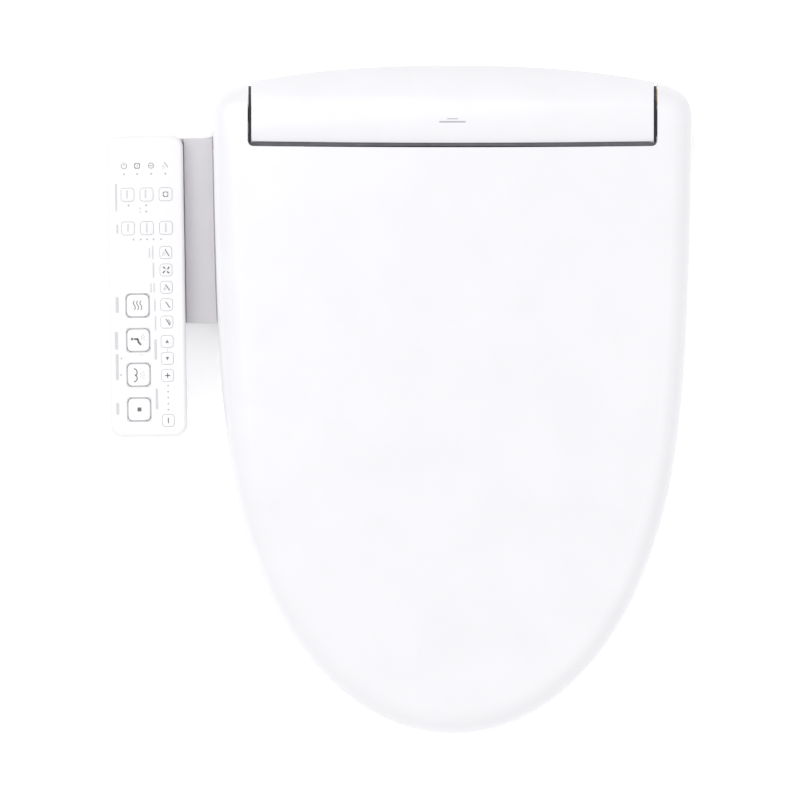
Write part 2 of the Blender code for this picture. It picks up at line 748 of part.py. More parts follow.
def make_nozzle():
    frame = wand_frame()
    wand_rod = moved(prism(circle(WAND_RADIUS, 24), 0, WAND_LENGTH), frame)
    wand = solid("nozzle_wand", *wand_rod, "gloss_white", WAND_TIP)
    add(wand, moved(rack_teeth(), frame))
    flat = moved(block((-20, 5.2, WAND_LENGTH - 32), (20, 20, WAND_LENGTH + 5)), frame)
    holes = []
    for from_tip in (8, 14, 24):
        along = WAND_LENGTH - from_tip
        holes.append(moved(rod((0, 2, along), (0, 12, along), 1.2, 10), frame))
    cut(wand, flat, *holes)

    half = WAND_RADIUS + GAP
    trough = moved(block((-half - 2.5, -half - 2.5, 0), (4, 1, WAND_LENGTH - 2)), frame)
    cradle = solid("nozzle_cradle", *trough, "inner_white")
    wand_room = moved(prism(circle(half, 24), -5, WAND_LENGTH + 5), frame)
    cut(cradle, wand_room, moved(block((-20, 0.5, -5), (20, 20, WAND_LENGTH + 5)), frame))

    gear_x = RACK_PITCH_X + GEAR_MODULE * GEAR_TEETH / 2
    to_gear = frame @ Matrix.Translation((gear_x, 0, GEAR_ALONG)) @ Matrix.Rotation(math.radians(-90), 4, "X")
    centre = to_gear.translation
    pinion = solid("drive_pinion", *moved(prism(gear_outline(), -3, 3), to_gear), "black_plastic", centre)
    cut(pinion, moved(prism(circle(2.1, 16), -6, 6), to_gear))
    shaft = moved(prism(circle(2.0, 16), -2.5, 4.5), to_gear)
    can = moved(prism(circle(11.5, 24), 4.0, 15), to_gear @ Matrix.Translation((7.5, 0, 0)))
    motor = solid("nozzle_motor", *can, "steel")
    add(motor, shaft)


def make_water_parts():
    tank = moved(prism(rounded(80, 34, 6), 14, 64), Matrix.Translation((86, 25, 0)))
    vessel = solid("water_tank", *tank, "inner_white")
    add(vessel, rod((86, 25, 60), (86, 25, 70), 7, 16))
    def across(x0, x1, y, radius, count=24):
        return rod((x0, y, PIPE_Z), (x1, y, PIPE_Z), radius, count)

    inlet = solid("water_inlet", *across(140, 176, INLET_Y, INLET_RADIUS), "brass")
    add(inlet, across(160, 166, INLET_Y, 11, 6))
    cut(inlet, across(130, 190, INLET_Y, 5, 16))
    gland = solid("power_gland", *across(150, 168, GLAND_Y, GLAND_RADIUS), "black_plastic")
    add(gland, across(157.6, 161, GLAND_Y, 9.0, 20))
    cut(gland, across(140, 190, GLAND_Y, 3.4, 16))
    valve = solid("inlet_valve", *block((130, 14, 36), (144.5, 40, 56)), "black_plastic")
    add(valve, rod((137, 27, 50), (137, 27, 69), 5.5, 16))


def make_dryer():
    x, z = DRYER_X, DRYER_Z
    scroll = solid("dryer_scroll", *rod((x, 10, z), (x, 42, z), 29, 28), "black_plastic")
    add(scroll, block((x - 18, 10, 17), (x + 18, 34, 34)))
    room = rod((x, 12, z), (x, 40, z), 27, 28)
    outlet = block((x - 16, 5, 19), (x + 16, 32, 32))
    eye = rod((x, 35, z), (x, 50, z), 14, 20)
    axle_hole = rod((x, 5, z), (x, 15, z), 3.3, 16)
    cut(scroll, room, outlet, eye, axle_hole)

    fan = solid("dryer_fan", *rod((x, 14, z), (x, 16.5, z), 23, 24), "inner_white", (x, 14, z))
    add(fan, rod((x, 8, z), (x, 30, z), 3.0, 16))
    blades = []
    for i in range(12):
        turn = Matrix.Translation((x, 0, z)) @ Matrix.Rotation(2 * math.pi * i / 12, 4, "Y")
        blades.append(moved(block((15, 16, -0.9), (22.5, 36, 0.9)), turn))
    add(fan, *blades)

    motor_end = rear_line(x - 10.5) - 2 - WALL - GAP
    solid("dryer_motor", *rod((x, 30 + 2 * GAP, z), (x, motor_end, z), 10.5), "steel")

    duct_wall = 2.0
    low = (x - DUCT_HALF, -67, DUCT_LOW)
    high = (x + DUCT_HALF, 9.5, DUCT_HIGH)
    duct = solid("dryer_duct", *block(low, high), "black_plastic")
    way_half = DUCT_HALF - duct_wall
    cut(duct, block((x - way_half, -80, DUCT_LOW + duct_wall), (x + way_half, 20, DUCT_HIGH - duct_wall)))


def make_control_board():
    board = solid("control_board", *block((-84, 28, 86), (84, 29.6, 126)), "board_green")
    chips = [block((-70 + 34 * i, 20, 92), (-48 + 34 * i, 28.5, 110 + 3 * (i % 2))) for i in range(5)]
    add(board, *chips)


# ---------------------------------------------------------------- the side panel


def in_panel(u, v):
    """The matrix that puts a shape drawn about the panel's centre at (u, v) on the turned panel."""
    turn = Matrix.Rotation(PANEL_TURN, 4, "Z")
    return Matrix.Translation(PANEL_CENTRE) @ turn @ Matrix.Translation((u, v, 0))


def key_layout():
    """Each key's name, place on the panel and side length."""
    keys = []
    for i, name in enumerate(("dryer", "front", "rear", "stop")):
        keys.append((f"key_{name}", -7.4, -15.3 - 27.5 * i, LARGE_KEY))
    for i, name in enumerate(("wand_clean", "air_dry", "mist", "pulse", "sweep")):
        keys.append((f"key_{name}", 15.6, 26.4 - 13.8 * i, COLUMN_KEY))
    keys.append(("key_position_back", 15.6, -44.2, COLUMN_KEY))
    keys.append(("key_position_front", 15.6, -57.6, COLUMN_KEY))
    keys.append(("key_pressure_up", 15.6, -71.2, COLUMN_KEY))
    keys.append(("key_pressure_down", 15.6, -106.9, COLUMN_KEY))
    for row, v in (("top", 72.7), ("low", 46.0)):
        for i, letter in enumerate("abc"):
            keys.append((f"key_{row}_{letter}", -14.1 + 15.1 * i, v, ROW_KEY))
    return keys


def make_panel():
    box = prism(rounded(PANEL_WIDTH, PANEL_LENGTH, PANEL_CORNER, 4), PANEL_FOOT, PANEL_SPLIT)
    case = solid("panel_case", *moved(box, in_panel(0, 0)), "gloss_white")
    room = prism(rounded(PANEL_WIDTH - 4, PANEL_LENGTH - 4, 8, 4), PANEL_FOOT + 2, PANEL_SPLIT + 20)
    cut(case, moved(room, in_panel(0, 0)))

    foot = PANEL_SPLIT + GAP
    sections = []
    for shrink, z in ((0, foot), (0, PANEL_TOP - 3), (0.8, PANEL_TOP - 1), (3, PANEL_TOP)):
        outline = rounded(PANEL_WIDTH - 2 * shrink, PANEL_LENGTH - 2 * shrink, PANEL_CORNER - shrink, 4)
        sections.append([(x, y, z) for x, y in outline])
    cover = solid("panel_cover", *moved(loft(sections, closed_along=False), in_panel(0, 0)), "gloss_white")
    under = prism(rounded(PANEL_WIDTH - 5, PANEL_LENGTH - 5, 7.5, 4), foot - 20, PANEL_TOP - 2.2)
    cut(cover, moved(under, in_panel(0, 0)))

    for name, u, v, side in key_layout():
        place = in_panel(u, v)
        low = PANEL_TOP + KEY_RISE - KEY_DEPTH
        shape = prism(rounded(side, side, 2.4), low, PANEL_TOP + KEY_RISE)
        centre = place @ Vector((0, 0, PANEL_TOP + KEY_RISE))
        solid(name, *moved(shape, place), "gloss_white", centre)
        hole_side = side + 2 * KEY_CLEARANCE
        cut(cover, moved(prism(rounded(hole_side, hole_side, 2.4 + KEY_CLEARANCE), 60, 80), place))

    board = prism(rounded(PANEL_WIDTH - 7, PANEL_LENGTH - 7, 6), PANEL_SPLIT + 2, PANEL_SPLIT + 3.6)
    solid("panel_board", *moved(board, in_panel(0, 0)), "board_green")


def arm_inner_edge():
    """The arm cover's edge beside the lid, from the front to the bridge, just clear of the lid's skirt."""
    steps = 6
    ys = [ARM_FRONT_Y + (SEAT_REAR_Y + 3 - ARM_FRONT_Y) * i / steps for i in range(steps + 1)]
    return [(-side_half_width(y) - LID_CLEARANCE, y) for y in ys]


def panel_edge_x(y):
    """The side of the panel that faces the seat."""
    return PANEL_CENTRE.x + PANEL_WIDTH / 2 - (y - PANEL_CENTRE.y) * math.tan(PANEL_TURN)


def arm_roof(x, y):
    """The arm's top rises a little towards the lid, and more towards the housing."""
    inwards = (x - ARM_OUTER_X) / (ARM_INNER_X - ARM_OUTER_X)
    return ARM_TOP + 1.5 + 3.0 * inwards + 11.0 * (y - ARM_FRONT_Y) / (ARM_REAR_Y - ARM_FRONT_Y)


def make_arm():
    """A hollow arm: a stretch along the ring that the panel stands on, and a bridge to the housing."""
    outline = [(ARM_OUTER_X, ARM_FRONT_Y), (TRAY_INNER_X, ARM_FRONT_Y), (TRAY_INNER_X, -12.0)]
    outline += [(ARM_INNER_X, SEAT_REAR_Y + 3), (-BASE_HALF - GAP, SEAT_REAR_Y + 10)]
    outline += [(-BASE_HALF - GAP, 30), (-183, 30)]
    outline += [(-188.5, 9), (-190.5, 5), (-194, 3.4), (-200, ARM_REAR_Y), (ARM_OUTER_X, ARM_REAR_Y)]
    tray = solid("arm_tray", *prism(outline, 4, ARM_TOP), "arm_grey")
    room = [(ARM_OUTER_X + WALL, ARM_FRONT_Y + WALL), (TRAY_INNER_X - WALL, ARM_FRONT_Y + WALL)]
    room += [(TRAY_INNER_X - WALL, 0.0), (ARM_OUTER_X + WALL, 0.0)]
    cut(tray, prism(room, 7, 60))
    channel = [(-205, -3), (-184, -3), (-184, 4), (-140, 4), (-140, 7), (-188, 7), (-188, 1), (-205, 1)]
    cut(tray, prism(channel, 10, 30))

    plan = [(panel_edge_x(ARM_FRONT_Y) + SLACK, ARM_FRONT_Y), *arm_inner_edge(), (ARM_INNER_X, ARM_REAR_Y)]
    plan += [(panel_edge_x(ARM_REAR_Y) + SLACK, ARM_REAR_Y)]
    solid("arm_cover", *prism(plan, ARM_TOP + GAP, arm_roof), "arm_grey")


def main():
    clear_scene()
    make_mounting_plate()
    make_base()
    make_shroud()
    make_cover()
    make_gap_seal()
    make_hinges()
    make_release_button()
    make_odour_filter()
    make_nozzle()
    make_water_parts()
    make_dryer()
    make_control_board()
    make_seat()
    make_lid()
    make_arm()
    make_panel()


main()
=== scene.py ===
"""The looks of the electric bidet seat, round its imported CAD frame.

Lengths are millimetres unless a name says so.
"""

import json
import math

import bmesh
import bpy
from mathutils import Matrix, Vector


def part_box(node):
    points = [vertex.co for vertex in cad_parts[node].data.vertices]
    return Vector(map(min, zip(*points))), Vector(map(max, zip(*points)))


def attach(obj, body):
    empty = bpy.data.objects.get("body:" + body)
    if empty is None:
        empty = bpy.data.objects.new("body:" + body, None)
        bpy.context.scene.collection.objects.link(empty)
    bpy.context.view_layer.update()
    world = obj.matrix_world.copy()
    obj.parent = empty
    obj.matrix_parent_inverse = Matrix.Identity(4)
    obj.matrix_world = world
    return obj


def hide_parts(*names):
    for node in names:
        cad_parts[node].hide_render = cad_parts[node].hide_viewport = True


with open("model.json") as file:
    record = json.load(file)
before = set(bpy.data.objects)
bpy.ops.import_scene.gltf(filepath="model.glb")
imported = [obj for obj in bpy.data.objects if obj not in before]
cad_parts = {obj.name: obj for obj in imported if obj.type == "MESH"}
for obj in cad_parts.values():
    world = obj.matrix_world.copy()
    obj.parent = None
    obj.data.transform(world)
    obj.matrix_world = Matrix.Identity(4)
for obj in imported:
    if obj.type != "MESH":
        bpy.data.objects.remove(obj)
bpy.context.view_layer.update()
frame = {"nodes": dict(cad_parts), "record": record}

MM = 0.001


def node_box(name):
    """A CAD node's lowest and highest corner in millimetres."""
    low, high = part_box(name)
    return low / MM, high / MM


LID_LOW, LID_HIGH = node_box("lid_shell")
COVER_LOW, COVER_HIGH = node_box("rear_cover")
PIN_LOW, PIN_HIGH = node_box("hinge_pin_right")

# Plan of the lid
LID_HALF_WIDTH = LID_HIGH.x
NOSE_Y = LID_LOW.y
REAR_Y = COVER_HIGH.y
WIDEST_Y = 17.0
REAR_SAG = 13.0
CORNER_X = 160.0
SIDE_POWER = 3.35

# Side view
HINGE_Y = (PIN_LOW.y + PIN_HIGH.y) / 2
HINGE_Z = (PIN_LOW.z + PIN_HIGH.z) / 2
COVER_RADIUS = COVER_HIGH.z - HINGE_Z
ROOF_RADIUS = COVER_RADIUS + 2.5
NOSE_ROOF = 60.0
CROWN = 6.0
EDGE_ROLL_WIDTH = 19.0
EDGE_ROLL_DROP = 14.0
LID_WALL = 3.0
LID_LIP = 1.1
LID_OVERLAP = 3.0  # how far the skirt reaches down over the ring

# The gap round the rear cover
NOTCH_HALF = 162.3
NOTCH_Y = -3.7
NOTCH_BOW = 1.1
NOTCH_CORNER = 4.5
COVER_FRONT_Y = COVER_LOW.y + 0.4
COVER_BOW = 1.3
COVER_HALF = COVER_HIGH.x
BORE_RADIUS = (PIN_HIGH.z - PIN_LOW.z) / 2 - 3.0 + 0.3

BASE_LOW, BASE_HIGH = node_box("base_shell")
BASE_HALF = BASE_HIGH.x
BASE_FLOOR = 8.0
WALL = 2.5
JOINT_GAP = 0.3

# Seat ring
SEAT_REAR_Y = -8.0
SEAT_INSET = 2.0
SEAT_FRONT_TOP = 38.0
SEAT_REAR_TOP = 54.0
SEAT_SPLIT = 26.0
SEAT_BOTTOM = 8.0
SEAT_WALL = 2.8
HOLE_Y = -245.0
HOLE_HALF_X = 108.0
HOLE_HALF_Y = 153.0

# Hood under the ring's rear
HOOD_LOW, HOOD_HIGH = node_box("front_shroud")
HOOD_HALF = HOOD_HIGH.x
HOOD_FRONT_Y = HOOD_LOW.y
HOOD_TOP = HOOD_HIGH.z
TUNNEL_HALF = HOOD_HALF + 3
TUNNEL_FRONT_Y = HOOD_FRONT_Y - 23
TUNNEL_TOP = HOOD_TOP + 2

# Side panel
PANEL_CENTRE = Vector((-242.7, -114.5, 0.0))
PANEL_TURN = math.radians(0.87)
PANEL_WIDTH = 61.0
PANEL_LENGTH = 239.5
PANEL_FOOT = node_box("panel_case")[0].z
PANEL_SPLIT = node_box("panel_case")[1].z
PANEL_TOP = node_box("panel_cover")[1].z
KEY_TOP = node_box("key_stop")[1].z
BADGE_Y = 15.4
LARGE_KEY = 19.0
ROW_KEY = 10.4
COLUMN_KEY = 9.6
KEY_GAP = 0.3
KEY_CORNER = 2.4
KEY_HEIGHT = 4.5

# Arm from the housing to the panel
ARM_LOW, ARM_HIGH = node_box("arm_tray")
ARM_FRONT_Y = ARM_LOW.y
ARM_REAR_Y = node_box("arm_cover")[1].y
ARM_OUTER_X = ARM_LOW.x
ARM_INNER_X = -LID_HALF_WIDTH - 0.3
TRAY_INNER_X = ARM_INNER_X - 1.7
ARM_TOP = ARM_HIGH.z
ARM_GAP = 0.7


# ---------------------------------------------------------------- materials


def new_material(name):
    material = bpy.data.materials.new(name)
    material.use_nodes = True
    tree = material.node_tree
    return material, tree, tree.nodes["Principled BSDF"]


def noise(tree, scale, detail=3.0, stretch=(1.0, 1.0, 1.0)):
    """Noise over the object's own coordinates, with its scale in cycles a metre."""
    place = tree.nodes.new("ShaderNodeTexCoord")
    mapping = tree.nodes.new("ShaderNodeMapping")
    mapping.inputs["Scale"].default_value = stretch
    texture = tree.nodes.new("ShaderNodeTexNoise")
    texture.inputs["Scale"].default_value = scale
    texture.inputs["Detail"].default_value = detail
    tree.links.new(place.outputs["Object"], mapping.inputs["Vector"])
    tree.links.new(mapping.outputs["Vector"], texture.inputs["Vector"])
    return texture.outputs["Fac"]


def spread(tree, value, low, high):
    """A 0 to 1 value, mostly between 0.3 and 0.7, mapped to run from low to high."""
    node = tree.nodes.new("ShaderNodeMapRange")
    node.inputs["From Min"].default_value = 0.3
    node.inputs["From Max"].default_value = 0.7
    node.inputs["To Min"].default_value = low
    node.inputs["To Max"].default_value = high
    tree.links.new(value, node.inputs["Value"])
    return node.outputs["Result"]


def blend_colours(tree, share, first, second):
    node = tree.nodes.new("ShaderNodeMix")
    node.data_type = "RGBA"
    node.inputs["A"].default_value = (*first, 1.0)
    node.inputs["B"].default_value = (*second, 1.0)
    tree.links.new(share, node.inputs["Factor"])
    return node.outputs["Result"]


def bump(tree, layers):
    """Stacks bumps; a layer is a height output, its depth in metres and its strength."""
    normal = None
    for height, depth, strength in layers:
        node = tree.nodes.new("ShaderNodeBump")
        node.inputs["Distance"].default_value = depth
        node.inputs["Strength"].default_value = strength
        tree.links.new(height, node.inputs["Height"])
        if normal:
            tree.links.new(normal, node.inputs["Normal"])
        normal = node.outputs["Normal"]
    return normal


def shaded(colour, factor):
    return tuple(min(1.0, channel * factor) for channel in colour)


def plastic(name, colour, roughness, grain=900.0, depth=0.00002, coat=0.0):
    """Moulded plastic: faint clouding, uneven gloss, a fine grain and a moulded wall's slow ripple."""
    material, tree, shader = new_material(name)
    clouds = spread(tree, noise(tree, 22.0), 0.0, 1.0)
    tint = blend_colours(tree, clouds, shaded(colour, 0.985), shaded(colour, 1.012))
    tree.links.new(tint, shader.inputs["Base Color"])
    patches = spread(tree, noise(tree, 60.0, 5.0), roughness * 0.85, roughness * 1.2)
    tree.links.new(patches, shader.inputs["Roughness"])
    layers = [(noise(tree, 14.0, 1.0), 0.00006, 0.35), (noise(tree, grain, 2.0), depth, 0.5)]
    tree.links.new(bump(tree, layers), shader.inputs["Normal"])
    shader.inputs["IOR"].default_value = 1.49
    if coat:
        shader.inputs["Coat Weight"].default_value = coat
        shader.inputs["Coat Roughness"].default_value = 0.06
    return material


def rubber(name, colour):
    """Matt rubber with a little dust in its pores."""
    material, tree, shader = new_material(name)
    dust = spread(tree, noise(tree, 120.0, 6.0), 0.0, 1.0)
    tint = blend_colours(tree, dust, shaded(colour, 0.9), shaded(colour, 1.1))
    tree.links.new(tint, shader.inputs["Base Color"])
    tree.links.new(spread(tree, noise(tree, 300.0), 0.62, 0.82), shader.inputs["Roughness"])
    tree.links.new(bump(tree, [(noise(tree, 2600.0, 3.0), 0.00006, 0.8)]), shader.inputs["Normal"])
    return material


def metal(name, colour, roughness, along=(1.0, 1.0, 1.0)):
    """Drawn or turned metal: fine lines over faint tarnish, drawn out along the axes that hold a 1."""
    material, tree, shader = new_material(name)
    stretch = tuple(1.0 if value else 40.0 for value in along)
    lines = noise(tree, 90.0, 4.0, stretch)
    tarnish = spread(tree, noise(tree, 140.0, 4.0), 0.0, 1.0)
    tint = blend_colours(tree, tarnish, shaded(colour, 0.88), shaded(colour, 1.05))
    tree.links.new(tint, shader.inputs["Base Color"])
    tree.links.new(spread(tree, lines, roughness * 0.75, roughness * 1.35), shader.inputs["Roughness"])
    tree.links.new(bump(tree, [(lines, 0.00003, 0.4)]), shader.inputs["Normal"])
    shader.inputs["Metallic"].default_value = 1.0
    return material


def ink(name, colour):
    """Screen printing: almost even, a little broken at the scale of its mesh."""
    material, tree, shader = new_material(name)
    mesh = spread(tree, noise(tree, 1800.0, 3.0), 0.0, 1.0)
    tint = blend_colours(tree, mesh, shaded(colour, 0.9), shaded(colour, 1.12))
    tree.links.new(tint, shader.inputs["Base Color"])
    tree.links.new(spread(tree, noise(tree, 900.0), 0.42, 0.6), shader.inputs["Roughness"])
    return material


GLOSS = plastic("moulded_gloss", (0.785, 0.779, 0.806), 0.20, coat=0.25)
PANEL_GLOSS = plastic("moulded_panel", (0.800, 0.796, 0.812), 0.22, coat=0.2)
SATIN = plastic("moulded_satin", (0.780, 0.775, 0.798), 0.36, depth=0.00004)
# The arm is the same white plastic as the shells. Its greyer colour here is painted shade for the deep
# valley between the lid and the panel.
ARM_PAINTED_SHADE = plastic("moulded_arm_painted_shade", (0.660, 0.645, 0.670), 0.42, grain=1400.0, depth=0.00006)
KEY = plastic("moulded_key", (0.800, 0.796, 0.812), 0.24, coat=0.15)
WAND = plastic("moulded_wand", (0.790, 0.785, 0.805), 0.15, coat=0.4)
INNER = plastic("moulded_inner", (0.70, 0.69, 0.66), 0.48, grain=1200.0, depth=0.00006)
BLACK = plastic("moulded_black", (0.035, 0.035, 0.040), 0.46, grain=1500.0, depth=0.00008)
RUBBER = rubber("soft_rubber", (0.52, 0.52, 0.54))
# Dark rubber for the strip in the gap round the housing's cover. Its darkness is partly the seam's own
# dark rubber and partly painted shade for the depth of the gap, with the colour set to give the gap
# its tone.
SEAL_AND_PAINTED_GAP_SHADE = rubber("seal_rubber_and_painted_gap_shade", (0.16, 0.16, 0.18))
STEEL = metal("drawn_steel", (0.60, 0.60, 0.62), 0.26, along=(1.0, 0.0, 0.0))
BRASS = metal("turned_brass", (0.72, 0.57, 0.31), 0.28, along=(0.0, 1.0, 1.0))
BOARD = plastic("solder_mask", (0.02, 0.16, 0.08), 0.34, grain=2200.0, depth=0.00005)
FOIL = metal("heater_foil", (0.78, 0.45, 0.27), 0.34)
DARK_INK = ink("print_dark", (0.13, 0.13, 0.14))
GREY_INK = ink("print_grey", (0.40, 0.40, 0.42))
FAINT_INK = ink("print_faint", (0.58, 0.58, 0.60))

SLOT_FINISH = {
    "gloss_shell": GLOSS,
    "satin_shell": SATIN,
    "arm_shell": ARM_PAINTED_SHADE,
    "key_caps": KEY,
    "wand": WAND,
    "rubber_feet": RUBBER,
    "rubber_seal": SEAL_AND_PAINTED_GAP_SHADE,
    "black_plastic": BLACK,
    "inner_plastic": INNER,
    "steel": STEEL,
    "brass": BRASS,
    "circuit_board": BOARD,
    "heater_film": FOIL,
}
NODE_SLOT = {row["node"]: row["material_slot"] for row in frame["record"]["subparts"]}
NODE_BODY = {}
for body, nodes in frame["record"]["behaviour"]["bodies"].items():
    NODE_BODY.update({node: body for node in nodes})


def finish_cad_nodes():
    """Gives each CAD node its slot's material; the nodes that a piece replaces are hidden anyway."""
    for name, obj in frame["nodes"].items():
        material = SLOT_FINISH[NODE_SLOT[name]]
        if not obj.material_slots:
            obj.data.materials.append(material)
        for slot in obj.material_slots:
            slot.material = material


# ---------------------------------------------------------------- meshes


def mesh_object(name, verts, faces, finishes, face_finish=None):
    """An object from points in millimetres, its faces pointing out, with one or more materials."""
    mesh = bpy.data.meshes.new(name)
    mesh.from_pydata([Vector(v) * MM for v in verts], [], faces)
    if face_finish:
        mesh.polygons.foreach_set("material_index", face_finish)
    shape = bmesh.new()
    shape.from_mesh(mesh)
    bmesh.ops.recalc_face_normals(shape, faces=shape.faces)
    shape.to_mesh(mesh)
    shape.free()
    for finish in finishes:
        mesh.materials.append(finish)
    obj = bpy.data.objects.new(name, mesh)
    bpy.context.scene.collection.objects.link(obj)
    return obj


def settle(obj):
    """Applies the object's modifiers to its mesh."""
    bpy.context.view_layer.update()
    graph = bpy.context.evaluated_depsgraph_get()
    mesh = bpy.data.meshes.new_from_object(obj.evaluated_get(graph), depsgraph=graph)
    old = obj.data
    obj.modifiers.clear()
    obj.data = mesh
    mesh.name = obj.name
    bpy.data.meshes.remove(old)


def triangulate(obj):
    """Splits every face, because a Boolean can lose a shape whose faces aren't flat."""
    shape = bmesh.new()
    shape.from_mesh(obj.data)
    bmesh.ops.triangulate(shape, faces=shape.faces)
    shape.to_mesh(obj.data)
    shape.free()


def combine(obj, operation, shapes):
    """Cuts shapes from an object or joins them to it, one after the other."""
    triangulate(obj)
    tools = []
    for verts, faces in shapes:
        tool = mesh_object("tool", verts, faces, [])
        triangulate(tool)
        modifier = obj.modifiers.new(operation.lower(), "BOOLEAN")
        modifier.operation = operation
        modifier.object = tool
        modifier.solver = "EXACT"
        tools.append(tool)
    settle(obj)
    for tool in tools:
        bpy.data.objects.remove(tool, do_unlink=True)


def cut(obj, *shapes):
    combine(obj, "DIFFERENCE", shapes)


def add(obj, *shapes):
    combine(obj, "UNION", shapes)


def soften(obj, width, angle=38.0, segments=3):
    """Rounds the edges sharper than an angle and shades the rest smooth."""
    shape = bmesh.new()
    shape.from_mesh(obj.data)
    bmesh.ops.remove_doubles(shape, verts=shape.verts, dist=0.00002)
    bmesh.ops.dissolve_degenerate(shape, edges=shape.edges, dist=0.00002)
    shape.to_mesh(obj.data)
    shape.free()
    bevel = obj.modifiers.new("round_edges", "BEVEL")
    bevel.width = width * MM
    bevel.segments = segments
    bevel.limit_method = "ANGLE"
    bevel.angle_limit = math.radians(angle)
    bevel.miter_outer = "MITER_ARC"
    settle(obj)
    obj.data.shade_smooth()
    obj.data.set_sharp_from_angle(angle=math.radians(angle))
    even = obj.modifiers.new("even_normals", "WEIGHTED_NORMAL")
    even.keep_sharp = True
    even.weight = 60
    settle(obj)


def show(obj, body, slot, *nodes):
    """Rides a finished piece on a body, in place of CAD nodes."""
    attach(obj, body)
    if nodes:
        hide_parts(*nodes)


def prism(outline, low, high):
    """An outline in XY between two heights, each a number or a function of x and y."""
    def height(level, point):
        return level(*point) if callable(level) else level

    count = len(outline)
    verts = [(*p, height(low, p)) for p in outline]
    verts += [(*p, height(high, p)) for p in outline]
    sides = [(i, (i + 1) % count, count + (i + 1) % count, count + i) for i in range(count)]
    return verts, sides + [tuple(range(count))[::-1], tuple(range(count, 2 * count))]


def moved(shape, matrix):
    verts, faces = shape
    return [matrix @ Vector(v) for v in verts], faces


def block(low, high):
    (x0, y0, z0), (x1, y1, z1) = low, high
    return prism([(x0, y0), (x1, y0), (x1, y1), (x0, y1)], z0, z1)


def circle(radius, count):
    return [
        (radius * math.cos(2 * math.pi * i / count), radius * math.sin(2 * math.pi * i / count))
        for i in range(count)
    ]


def rounded(width, length, radius, steps=10):
    """A rectangle about the origin with round corners."""
    corners = ((1, 1, 0), (-1, 1, 90), (-1, -1, 180), (1, -1, 270))
    points = []
    for sign_x, sign_y, start in corners:
        centre_x = sign_x * (width / 2 - radius)
        centre_y = sign_y * (length / 2 - radius)
        for step in range(steps + 1):
            angle = math.radians(start + 90 * step / steps)
            points.append((centre_x + radius * math.cos(angle), centre_y + radius * math.sin(angle)))
    return points


def pointing(start, direction):
    """The matrix that stands a shape's Z axis along a direction, at a start point."""
    turn = Vector((0, 0, 1)).rotation_difference(Vector(direction)).to_matrix().to_4x4()
    return Matrix.Translation(start) @ turn


def rod(start, end, radius, count=64):
    axis = Vector(end) - Vector(start)
    return moved(prism(circle(radius, count), 0, axis.length), pointing(start, axis))


def side_plate(outline_yz, x0, x1):
    """An outline in YZ between two x positions."""
    verts, faces = prism(outline_yz, x0, x1)
    return [(x, y, z) for y, z, x in verts], faces


def skin(sections, closed_along=False):
    """Joins equal closed sections one after the other, and leaves the ends open."""
    count = len(sections[0])
    runs = len(sections)
    verts = [point for section in sections for point in section]
    faces = []
    for i in range(runs if closed_along else runs - 1):
        here = i * count
        there = (i + 1) % runs * count
        for j in range(count):
            k = (j + 1) % count
            faces.append((here + j, here + k, there + k, there + j))
    return verts, faces


def loft(sections, closed_along):
    """A solid through equal closed sections, with capped ends unless the run is closed."""
    verts, faces = skin(sections, closed_along)
    if not closed_along:
        count = len(sections[0])
        runs = len(sections)
        faces.append(tuple(range(count))[::-1])
        faces.append(tuple(range((runs - 1) * count, runs * count)))
    return verts, faces


# ---------------------------------------------------------------- the lid


def rear_line(x):
    """The rear edge of lid and housing, curving forward to both sides."""
    return REAR_Y - REAR_SAG * (abs(x) / CORNER_X) ** 2.4


def hermite(start, start_pull, end, end_pull, t):
    """A point on the curve that leaves start and reaches end along their pulls."""
    a = 2 * t**3 - 3 * t**2 + 1
    b = t**3 - 2 * t**2 + t
    c = 3 * t**2 - 2 * t**3
    d = t**3 - t**2
    return tuple(a * p + b * u + c * q + d * v for p, u, q, v in zip(start, start_pull, end, end_pull))


def side_half_width(y):
    """The lid's half width in front of its widest line."""
    t = min(1.0, (WIDEST_Y - y) / (WIDEST_Y - NOSE_Y))
    taper = 1.8 * math.sin(math.pi * min(t, 0.6) / 0.6)
    return LID_HALF_WIDTH * math.sqrt(max(0.0, 1 - t**SIDE_POWER)) - taper


def lid_half_outline(rear_steps=28, corner_steps=20, side_steps=110):
    """From the rear centre round the right side to the nose."""
    rear = [CORNER_X * i / rear_steps for i in range(rear_steps)]
    points = [(x, rear_line(x)) for x in rear]
    start = (CORNER_X, rear_line(CORNER_X))
    end = (LID_HALF_WIDTH, WIDEST_Y)
    for i in range(corner_steps):
        points.append(hermite(start, (60.0, -12.0), end, (0.0, -60.0), i / corner_steps))
    for i in range(side_steps):
        y = WIDEST_Y - (WIDEST_Y - NOSE_Y) * math.sin(math.pi / 2 * i / side_steps)
        points.append((side_half_width(y), y))
    return points + [(0.0, NOSE_Y)]


def inset(half, distance):
    """A half outline moved inwards along its normals; both ends stay on the centre line."""
    points = [(0.0, half[0][1] - distance)]
    for before, (x, y), after in zip(half, half[1:], half[2:]):
        along = Vector(after) - Vector(before)
        normal = Vector((-along.y, along.x)).normalized()
        points.append((x - normal.x * distance, y - normal.y * distance))
    return points + [(0.0, half[-1][1] + distance)]


def mirrored(half):
    """The closed outline of a half, from the rear centre round to it again."""
    return half + [(-x, y) for x, y in half[-2:0:-1]]


def roof(y):
    """Height of the lid's centre line: round over the hinge, then almost straight down to the nose."""
    if y > HINGE_Y:
        return HINGE_Z + math.sqrt(ROOF_RADIUS**2 - (y - HINGE_Y) ** 2)
    share = (HINGE_Y - y) / (HINGE_Y - NOSE_Y)
    return HINGE_Z + ROOF_RADIUS - (HINGE_Z + ROOF_RADIUS - NOSE_ROOF) * share**1.12


def crown(x):
    """How far the roof falls to the sides."""
    return CROWN * (x / LID_HALF_WIDTH) ** 2


